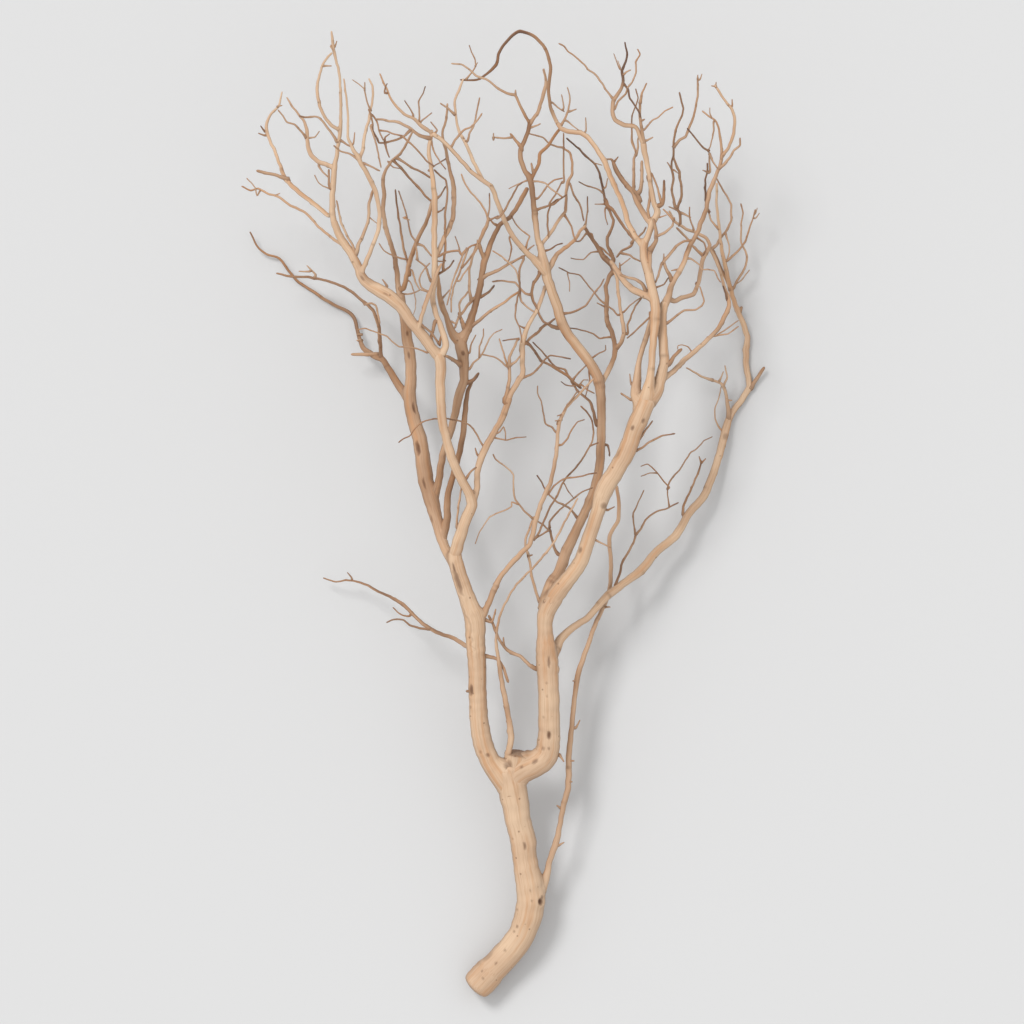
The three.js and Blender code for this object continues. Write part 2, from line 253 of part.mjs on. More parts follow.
    line: [
    [163.5, 690, 129, 4], [168, 703, 128, 3.3], [171, 714, 127, 2.9], [176, 724, 126, 2.7],
    [181, 732, 125, 2.7], [185, 741, 124, 2.6], [189, 753, 123, 2.5], [196, 765, 122, 2.3],
    [201, 778, 121, 2.3], [206, 791, 120, 2.4], [208.5, 806, 119, 2.2], [213, 818, 118, 2.1],
    [218, 830, 117, 1.8], [221, 840, 116, 1.6], [221, 853, 115, 1.3], [219, 868, 114, 1.1],
    [216, 878, 113, 1], [208, 884, 112, 0.9], [203, 888, 111, 0.8]] },
  { name: "right_crook", from: ["right_leader"], wood: "pale", tip: "fine", line: [
    [220, 838, 116, 1.7], [223.5, 846, 119, 1.7], [228, 852, 121, 1.6], [232, 862, 124, 1.6],
    [234, 872, 126, 1.6], [234, 882, 128, 1.5], [230, 892.5, 130, 1.4], [224, 899, 132, 1.2],
    [218, 909, 134, 1.2], [215, 913, 135, 1]] },
  { name: "right_low_arm", from: ["right_outer_strand", "right_leader"], wood: "warm", tip: "fine", line: [
    [165, 692, 127, 2.8], [173, 699, 120, 2.4], [184, 703, 112, 2.3], [193, 706, 105, 2.2],
    [197.5, 715, 100, 2], [200, 726, 95, 2.1], [202, 738, 90, 2.3], [206, 748, 86, 2.2],
    [210, 755, 84, 1.8], [206, 762, 82, 1.7], [198, 767, 80, 1.6], [185, 772, 77, 1.5],
    [175, 779, 74, 1.3], [170, 788, 71, 1]] },
  { name: "right_sweep", from: ["right_outer_strand"], wood: "warm", tip: "fine", line: [
    [162, 618, 131, 2.9], [172, 628, 124, 2.6], [184, 640, 115, 2.7], [197, 651, 106, 2.3],
    [210, 663, 97, 2.2], [219, 673, 89, 2.2], [225, 685, 81, 2.3], [229, 694, 75, 2.3],
    [228, 704, 68, 1.9], [224, 714, 62, 1.6], [222, 724, 56, 1.5], [216, 741, 47, 1.6],
    [212, 749, 43, 1.5]] },
  { name: "right_side_limb", from: ["right_middle_strand"], wood: "warm", tip: "fine", line: [
    [153, 699, 137, 3.9], [144, 705, 131, 3.7], [132, 711, 122, 3.3], [123, 720, 112, 3],
    [117, 729, 102, 2.8], [112, 737, 92, 2.2]] },
  { name: "right_fork_limb", from: ["right_middle_strand"], wood: "pale", tip: "fork", line: [
    [144.5, 754, 139, 3.6], [149, 767, 141, 3], [153, 778, 142, 3.2], [157, 787, 143, 3.3],
    [153.5, 797, 146, 2.6], [151, 810, 148, 2.4], [149, 823, 150, 2.3], [147, 834, 152, 2.5],
    [144.5, 845, 154, 2.9], [143, 855, 156, 3]] },
  { name: "right_hook", from: ["right_fork_limb"], wood: "amber", tip: "fine", line: [
    [143.5, 851, 155, 2.5], [139, 864, 158, 2.2], [135, 872, 160, 2.1], [124, 874, 162, 2.2],
    [115, 879, 163, 2.2], [112, 888, 164, 2.1], [113.5, 899, 165, 2], [119, 907, 166, 1.8],
    [123, 916, 167, 1.6], [121.5, 928, 168, 1.4], [125.5, 937, 169, 1.1], [126.5, 944, 170, 1],
    [124.7, 955, 172, 0.8]] },
  { name: "right_dark_strand", from: ["right_fork_limb"], wood: "brown", tip: "fork", line: [
    [152, 777, 142, 2.8], [146, 782, 138, 2.9], [141, 790, 134, 2.9], [136, 800, 129, 3],
    [134, 806, 126, 2.6], [126, 815, 121, 2.5], [120, 823, 117, 2.4], [115.5, 831, 113, 2.3],
    [113, 838, 110, 1.6]] },
  { name: "arch_limb", from: ["right_middle_strand", "right_fork_limb"], wood: "pale", tip: "fork", line: [
    [143.5, 754, 139, 3.2], [136, 762, 136, 2.8], [129, 774, 132, 2.7], [122, 797, 126, 2.6],
    [117, 808, 124, 2.5], [110, 824, 121, 2.6], [104, 839, 118, 2.8], [95, 853, 116, 2.3],
    [89, 861, 115, 2.3], [80, 867, 114, 2.4], [70, 868, 113, 2.5], [61, 871.5, 112, 2.3],
    [58, 876, 112, 2]] },
  { name: "arch", from: ["arch_limb"], wood: "brown", tip: "fine", line: [
    [60, 872, 112, 2], [54, 883, 113, 1.9], [50.5, 893, 114, 1.7], [48.5, 908, 116, 1.7],
    [49.5, 921, 118, 1.7], [50.5, 933, 120, 1.7], [47.5, 945, 122, 1.7], [43, 954.5, 124, 1.6],
    [35, 962, 126, 1.6], [27, 966.5, 128, 1.6], [20, 968, 129, 1.7], [11, 962.5, 130, 1.5],
    [3, 953, 131, 1.4], [-1.5, 945, 131, 1.5], [-3, 936, 131, 1.5], [-6, 932, 131, 1.6],
    [-13, 925.5, 130, 1.2], [-22, 920, 128, 1.1], [-32, 919, 127, 1], [-38, 919.5, 126, 0.9]] },
];

// How many sides a limb is drawn with, from its thickest point.
function sidesFor(line) {
  const thickest = Math.max(...line.map((point) => point[3]));
  if (thickest >= stoutRadius) return stoutSides;
  return thickest >= middleRadius ? middleSides : slenderSides;
}

// The direction of the limb at each point, with two directions across it that don't twist.
function framesAlong(centres) {
  let side = new THREE.Vector3(0, 0, 1);
  return centres.map((centre, i) => {
    const before = centres[Math.max(i - 1, 0)];
    const after = centres[Math.min(i + 1, centres.length - 1)];
    const along = after.clone().sub(before).normalize();
    side = side.clone().addScaledVector(along, -side.dot(along)).normalize();
    return { centre, along, side, above: side.clone().cross(along) };
  });
}

// A limb as a turned, tapered rod with a ring of corners for each point, bent along its centre line.
function limbGeometry({ line, tip }, growth) {
  const frames = framesAlong(line.map(([x, y, z]) => new THREE.Vector3(x, y, z)));
  const last = line.length - 1;
  const profile = line.map((point, ring) => new THREE.Vector2(point[3] + growth, ring));
  profile.unshift(new THREE.Vector2(0, 0));
  profile.push(new THREE.Vector2(0, last));
  const rod = new THREE.LatheGeometry(profile, sidesFor(line));
  const corners = rod.attributes.position;
  for (let i = 0; i < corners.count; i++) {
    const { centre, along, side, above } = frames[Math.round(corners.getY(i))];
    const isTip = i % profile.length === profile.length - 1;
    const corner = centre.clone();
    corner.addScaledVector(side, corners.getX(i)).addScaledVector(above, corners.getZ(i));
    if (isTip) corner.addScaledVector(along, tipLength[tip] * line[last][3] + growth);
    corners.setXYZ(i, corner.x, corner.y, corner.z);
  }
  return rod;
}

// A closed geometry as a solid, once its seam is merged and its flat triangles are dropped.
function solidFrom(geometry) {
  geometry.deleteAttribute("normal");
  geometry.deleteAttribute("uv");
  const merged = mergeVertices(geometry, 1e-4);
  const indices = merged.index.array;
  const triangles = [];
  for (let i = 0; i < indices.length; i += 3) {
    const [a, b, c] = indices.slice(i, i + 3);
    if (a !== b && b !== c && c !== a) triangles.push(a, b, c);
  }
  return new wasm.Manifold(new wasm.Mesh({
    numProp: 3,
    vertProperties: merged.attributes.position.array,
    triVerts: new Uint32Array(triangles),
  }));
}

// The limb's solid, cut back to a saddle round each limb that it grows out of.
function limbSolid(limb, bounds) {
  let solid = solidFrom(limbGeometry(limb, 0));
  for (const parent of limb.from) solid = solid.subtract(bounds.get(parent));
  const bodies = solid.decompose();
  return bodies.reduce((most, body) => (body.volume() > most.volume() ? body : most));
}

// A solid's vertices and triangles as a flat-shaded geometry.
function geometryFrom(solid) {
  const { vertProperties, triVerts, numProp } = solid.getMesh();
  const geometry = new THREE.BufferGeometry();
  geometry.setAttribute("position", new THREE.BufferAttribute(vertProperties, numProp));
  geometry.setIndex(new THREE.BufferAttribute(triVerts, 1));
  const faceted = geometry.toNonIndexed();
  faceted.computeVertexNormals();
  return faceted;
}

function makeBranch() {
  const branch = new THREE.Group();
  const bounds = new Map(limbs.map((limb) => [limb.name, solidFrom(limbGeometry(limb, jointGap))]));
  for (const limb of limbs) {
    const material = new THREE.MeshStandardMaterial({ ...woods[limb.wood], metalness: 0 });
    const mesh = new THREE.Mesh(geometryFrom(limbSolid(limb, bounds)), material);
    mesh.name = limb.name;
    branch.add(mesh);
  }
  return branch;
}

// Stands the branch on z = 0, with the origin under the middle of its outline.
function settle(branch) {
  const box = new THREE.Box3().setFromObject(branch);
  const middle = box.getCenter(new THREE.Vector3());
  branch.position.set(-middle.x, -middle.y, -box.min.z);
  const settled = new THREE.Group();
  settled.add(branch);
  return settled;
}

export default settle(makeBranch());
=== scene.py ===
# A fallen, weathered tree branch: pale barkless limbs that fork into a crown of fine twigs.
# The limbs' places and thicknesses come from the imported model.
# Lengths are in millimetres until a mesh is made.
import json
import math
import bpy
import numpy as np
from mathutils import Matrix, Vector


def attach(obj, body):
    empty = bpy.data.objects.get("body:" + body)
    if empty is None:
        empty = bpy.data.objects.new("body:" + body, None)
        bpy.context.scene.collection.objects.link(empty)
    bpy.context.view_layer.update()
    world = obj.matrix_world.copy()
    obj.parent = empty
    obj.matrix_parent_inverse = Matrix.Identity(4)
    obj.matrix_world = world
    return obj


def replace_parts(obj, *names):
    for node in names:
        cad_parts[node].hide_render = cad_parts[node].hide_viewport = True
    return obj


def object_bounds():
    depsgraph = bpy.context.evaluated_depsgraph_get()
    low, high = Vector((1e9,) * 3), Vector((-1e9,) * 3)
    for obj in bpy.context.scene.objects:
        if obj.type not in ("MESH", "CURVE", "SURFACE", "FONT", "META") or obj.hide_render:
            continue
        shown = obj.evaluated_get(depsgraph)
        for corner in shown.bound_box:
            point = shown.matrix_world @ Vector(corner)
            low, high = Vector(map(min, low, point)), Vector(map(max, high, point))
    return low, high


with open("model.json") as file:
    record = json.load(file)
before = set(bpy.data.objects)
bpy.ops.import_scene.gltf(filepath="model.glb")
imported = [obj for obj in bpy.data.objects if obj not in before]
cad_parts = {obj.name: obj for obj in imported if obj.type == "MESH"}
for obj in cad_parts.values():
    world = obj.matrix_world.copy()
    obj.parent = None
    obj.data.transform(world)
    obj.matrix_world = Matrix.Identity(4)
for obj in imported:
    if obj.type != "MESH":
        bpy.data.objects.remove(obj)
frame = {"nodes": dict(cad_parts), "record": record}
cadLow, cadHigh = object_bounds()
metre = 0.001  # one millimetre, in Blender's metres
corner = np.array([cadLow.x, cadLow.y, 0.0]) * 1000  # the twigs below are measured from here
ringSides = (5, 6, 9)  # corners round a packed rod


# Reading a limb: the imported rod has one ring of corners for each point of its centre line
def limbRings(name):
    mesh = frame["nodes"][name].data
    corners = np.array([v.co for v in mesh.vertices]) * 1000
    places, index = np.unique(np.round(corners, 3), axis=0, return_inverse=True)
    index = index.reshape(-1)
    beside = [set() for _ in places]
    for edge in mesh.edges:
        a, b = (int(index[v]) for v in edge.vertices)
        if a != b:
            beside[a].add(b)
            beside[b].add(a)
    best, tip = [], 0
    for start, around in enumerate(beside):
        if len(around) not in ringSides:
            continue
        rings, seen, ring = [], {start}, {start}
        while True:
            ring = set().union(*(beside[v] for v in ring)) - seen
            if len(ring) != len(around):
                break
            seen |= ring
            rings.append(places[sorted(ring)])
        if len(rings) > len(best):
            best, tip = rings, start
    return places[tip], best


# Centre line from base to tip, as rows of x, y, z and radius, and how far the tip runs on
def readLimb(name):
    tip, rings = limbRings(name)
    rows = []
    for ring in rings:
        middle = ring.mean(axis=0)
        rows.append([*middle, np.linalg.norm(ring - middle, axis=1).mean()])
    end = np.linalg.norm(tip - rows[0][:3])
    rows = np.array(rows[::-1])
    if name == "butt_stem" and rows[0][1] > rows[-1][1]:  # its butt is a whole end too
        rows, end = rows[::-1], rows[0][3] * 0.8
    return rows, end


# Rows at even steps on a cubic curve through the given ones; less ease leaves the bends sharper
def smoothRows(rows, step, ease=1.0):
    rows = np.asarray(rows, float)
    gaps = np.linalg.norm(np.diff(rows[:, :3], axis=0), axis=1)
    at = np.concatenate([[0], np.cumsum(gaps)])
    slopes = np.gradient(rows, at, axis=0) * ease
    where = np.linspace(0, at[-1], max(int(at[-1] / step) + 1, 4))
    i = np.clip(np.searchsorted(at, where, side="right") - 1, 0, len(gaps) - 1)
    gap = gaps[i][:, None]
    t = (where[:, None] - at[i][:, None]) / gap
    curve = (2 * t**3 - 3 * t**2 + 1) * rows[i] + (t**3 - 2 * t**2 + t) * gap * slopes[i]
    curve += (3 * t**2 - 2 * t**3) * rows[i + 1] + (t**3 - t**2) * gap * slopes[i + 1]
    curve[:, 3] = np.clip(curve[:, 3], rows[:, 3].min() * 0.9, rows[:, 3].max() * 1.05)
    return curve


# Two directions across the line at each row, carried along it without twisting
def framesAlong(points):
    along = np.gradient(points, axis=0)
    along /= np.linalg.norm(along, axis=1)[:, None]
    side = np.array([0.0, 0.0, 1.0])
    sides = []
    for direction in along:
        side = side - direction * side.dot(direction)
        if np.linalg.norm(side) < 1e-3:
            side = np.cross(direction, [1.0, 0.0, 0.0])
        side = side / np.linalg.norm(side)
        sides.append(side)
    sides = np.array(sides)
    return along, sides, np.cross(sides, along)


# Distance from each point to a limb's surface, negative inside it
def distanceTo(rows, points):
    start, end = rows[:-1], rows[1:]
    run = end[:, :3] - start[:, :3]
    nearest = np.full(len(points), 1e9)
    for a, b, step in zip(start, end, run):
        t = np.clip((points - a[:3]) @ step / (step @ step), 0, 1)
        apart = np.linalg.norm(points - a[:3] - t[:, None] * step, axis=1)
        nearest = np.minimum(nearest, apart - (a[3] + t * (b[3] - a[3])))
    return nearest


# Slow waves over a limb's length and round it, from -1 to 1, for the lumps and flutes of grown wood
def waves(seed, s, angle, length, turns):
    chance = np.random.default_rng(seed)
    total = 0
    for _ in range(5):
        turn = chance.integers(0, turns + 1)
        pitch = 2 * math.pi / (length * chance.uniform(0.6, 1.8))
        total = total + np.sin(pitch * s + turn * angle + chance.uniform(0, 2 * math.pi))
    return total / 5


# One limb or twig, ready to be skinned: its dense rows, frames and the ring corners round them
class Rod:
    def __init__(self, name, rows, end, look):
        rows = smoothRows(rows, look["step"], look["ease"])
        self.look, self.rows = look, rows
        gaps = np.linalg.norm(np.diff(rows[:, :3], axis=0), axis=1)
        s = np.concatenate([[0], np.cumsum(gaps)])
        seed = sum(ord(letter) * (i + 1) for i, letter in enumerate(name))
        along, side, above = framesAlong(rows[:, :3])
        # the tip: a few shrinking rings that round it off
        t = np.array([0.3, 0.55, 0.75, 0.9, 0.98])
        shrink = -rows[-1, 3] * (1 - np.sqrt(1 - t**2))
        caps = rows[-1] + np.column_stack([along[-1] * (t * end)[:, None], shrink])
        self.tip = rows[-1, :3] + along[-1] * end
        full = np.vstack([rows, caps])
        s = np.concatenate([s, s[-1] + t * end])
        along = np.vstack([along, np.repeat(along[-1:], len(t), 0)])
        side = np.vstack([side, np.repeat(side[-1:], len(t), 0)])
        above = np.vstack([above, np.repeat(above[-1:], len(t), 0)])
        angle = np.arange(look["sides"]) * 2 * math.pi / look["sides"]
        s2, angle2 = np.meshgrid(s, angle, indexing="ij")
        if look.get("sawn"):  # the cut edge is worn round
            edge = np.clip(1 - s / sawnEnd["wornLength"], 0, 1)
            full[:, 3] -= sawnEnd["wornDepth"] * (1 - np.sqrt(np.clip(1 - edge**2, 0, 1)))
        radius = np.repeat(full[:, 3:4], len(angle), 1)
        swell = look["lumps"] * waves(seed, s2, angle2, 26, 2)
        swell = swell + look["flutes"] * waves(seed + 1, s2, angle2, 190, 7)
        bend = look["kinks"] * np.stack([waves(seed + 2, s, 0, 13, 0), waves(seed + 3, s, 0, 13, 0)], 1)
        bend *= np.clip(np.minimum(s, s[-1] - s) / 12, 0, 1)[:, None]
        centre = full[:, :3] + side * bend[:, :1] + above * bend[:, 1:]
        # nodes where shoots once grew: a swelling on one side, often darker
        chance = np.random.default_rng(seed + 9)
        node = np.zeros(radius.shape)
        breadth = 1.2 + 0.25 * rows[:, 3].mean()
        for _ in range(int(s[-1] / look["nodeGap"])):
            place, turned = chance.uniform(4, s[-1]), chance.uniform(0, 2 * math.pi)
            facing = (0.5 + 0.5 * np.cos(angle2 - turned)) ** 2
            node = np.maximum(node, facing * np.exp(-(((s2 - place) / breadth) ** 2)))
        swell = swell + look["nodes"] * node
        self.out = side[:, None] * np.cos(angle)[:, None] + above[:, None] * np.sin(angle)[:, None]
        self.radius = radius * (1 + swell)
        self.points = centre[:, None] + self.out * self.radius[:, :, None]
        self.centre, self.angle, self.sAll = centre, angle2, s2
        self.shade = 0.4 * node**2
        self.tone = look["tone"] + look["drift"] * waves(seed + 4, s2, angle2, 60, 1)

    # Pushes the surface out into a fillet where another rod meets it, and paints shade into the crotch
    def meet(self, other, reach, crotchShade=0.85):
        near = np.abs(distanceTo(other.rows[::3], self.points[:, 0])) < reach * 2.5 + self.radius[:, 0] * 2
        rings = np.flatnonzero(near)
        if not len(rings):
            return
        start = self.points[rings].reshape(-1, 3)
        out = self.out[rings].reshape(-1, 3)
        apart = distanceTo(other.rows[::2], start)
        away = distanceTo(other.rows[::2], start + out * 0.5) - apart
        facing = np.clip(1 - away / 0.5, 0, 1)  # none where the two run on as one surface
        moved = np.zeros(len(start))
        for _ in range(3):
            gap = distanceTo(other.rows[::2], start + out * moved[:, None])
            mix = np.clip(1 - np.abs(moved - gap) / reach, 0, 1)
            union = np.minimum(moved, gap) - mix**2 * reach / 4
            moved = np.clip(moved - 0.8 * union, 0, reach * 0.4)
        moved *= facing * np.clip(1 - apart / (reach * 1.6), 0, 1) ** 0.5
        shape = self.radius[rings].shape
        self.points[rings] += (out * moved[:, None]).reshape(*shape, 3)
        # painted shade: darker in the crotch where the two rods meet
        crotch = np.clip(-away / 0.5 + 0.25, 0, 1)
        dark = crotch * np.clip(1 - np.abs(apart) / (reach * 0.8), 0, 1) ** 1.3
        self.shade[rings] = np.maximum(self.shade[rings], crotchShade * dark.reshape(shape))

    # A knot, hole or scar in the upper face, or a knob that stands proud, seen from above
    def mark(self, x, y, width, length, depth, dark):
        place = np.array([x, y]) + corner[:2]
        along = np.gradient(self.centre[:, :2], axis=0)
        along /= np.linalg.norm(along, axis=1)[:, None] + 1e-9
        away = self.points[:, :, :2] - place
        down = (away * along[:, None]).sum(-1) / (length / 2)
        across = (away[:, :, 0] * along[:, None, 1] - away[:, :, 1] * along[:, None, 0]) / (width / 2)
        amount = np.clip(1.15 - down**2 - across**2, 0, 1)
        if depth > 0:
            amount *= np.clip(self.out[:, :, 2] * 3 + 0.3, 0, 1)
            rim = np.clip(1 - np.abs(np.hypot(down, across) - 1.3) / 0.5, 0, 1) * (self.out[:, :, 2] > 0)
            self.points += self.out * (0.25 * depth * rim)[:, :, None]
        self.points -= self.out * (amount * depth)[:, :, None]
        # the darkness is the colour of a knot or scar, and in a hole it is painted shade as well
        self.shade = np.maximum(self.shade, dark * amount**0.7)


# Both ends of this limb are cut by its neighbours, so its line is given, from the box's corner
paleDiagonal = np.array([
    [303.5, 725.7, 109, 3.8], [294.5, 736.7, 113, 3.5], [282.5, 748.7, 119, 2.8], [272.5, 760.7, 125, 2.6],
    [264.5, 774.7, 131, 2.4], [259.5, 786.7, 136, 2.4], [254.5, 799.7, 141, 2.3], [249.5, 811.7, 146, 2.3],
    [242.5, 816.7, 149, 2.2], [230.5, 825.7, 153, 2], [220.5, 836.7, 158, 2], [210.5, 847.7, 162, 2],
    [200.5, 857.7, 165, 2.1], [192.5, 863.2, 167, 2.4]])


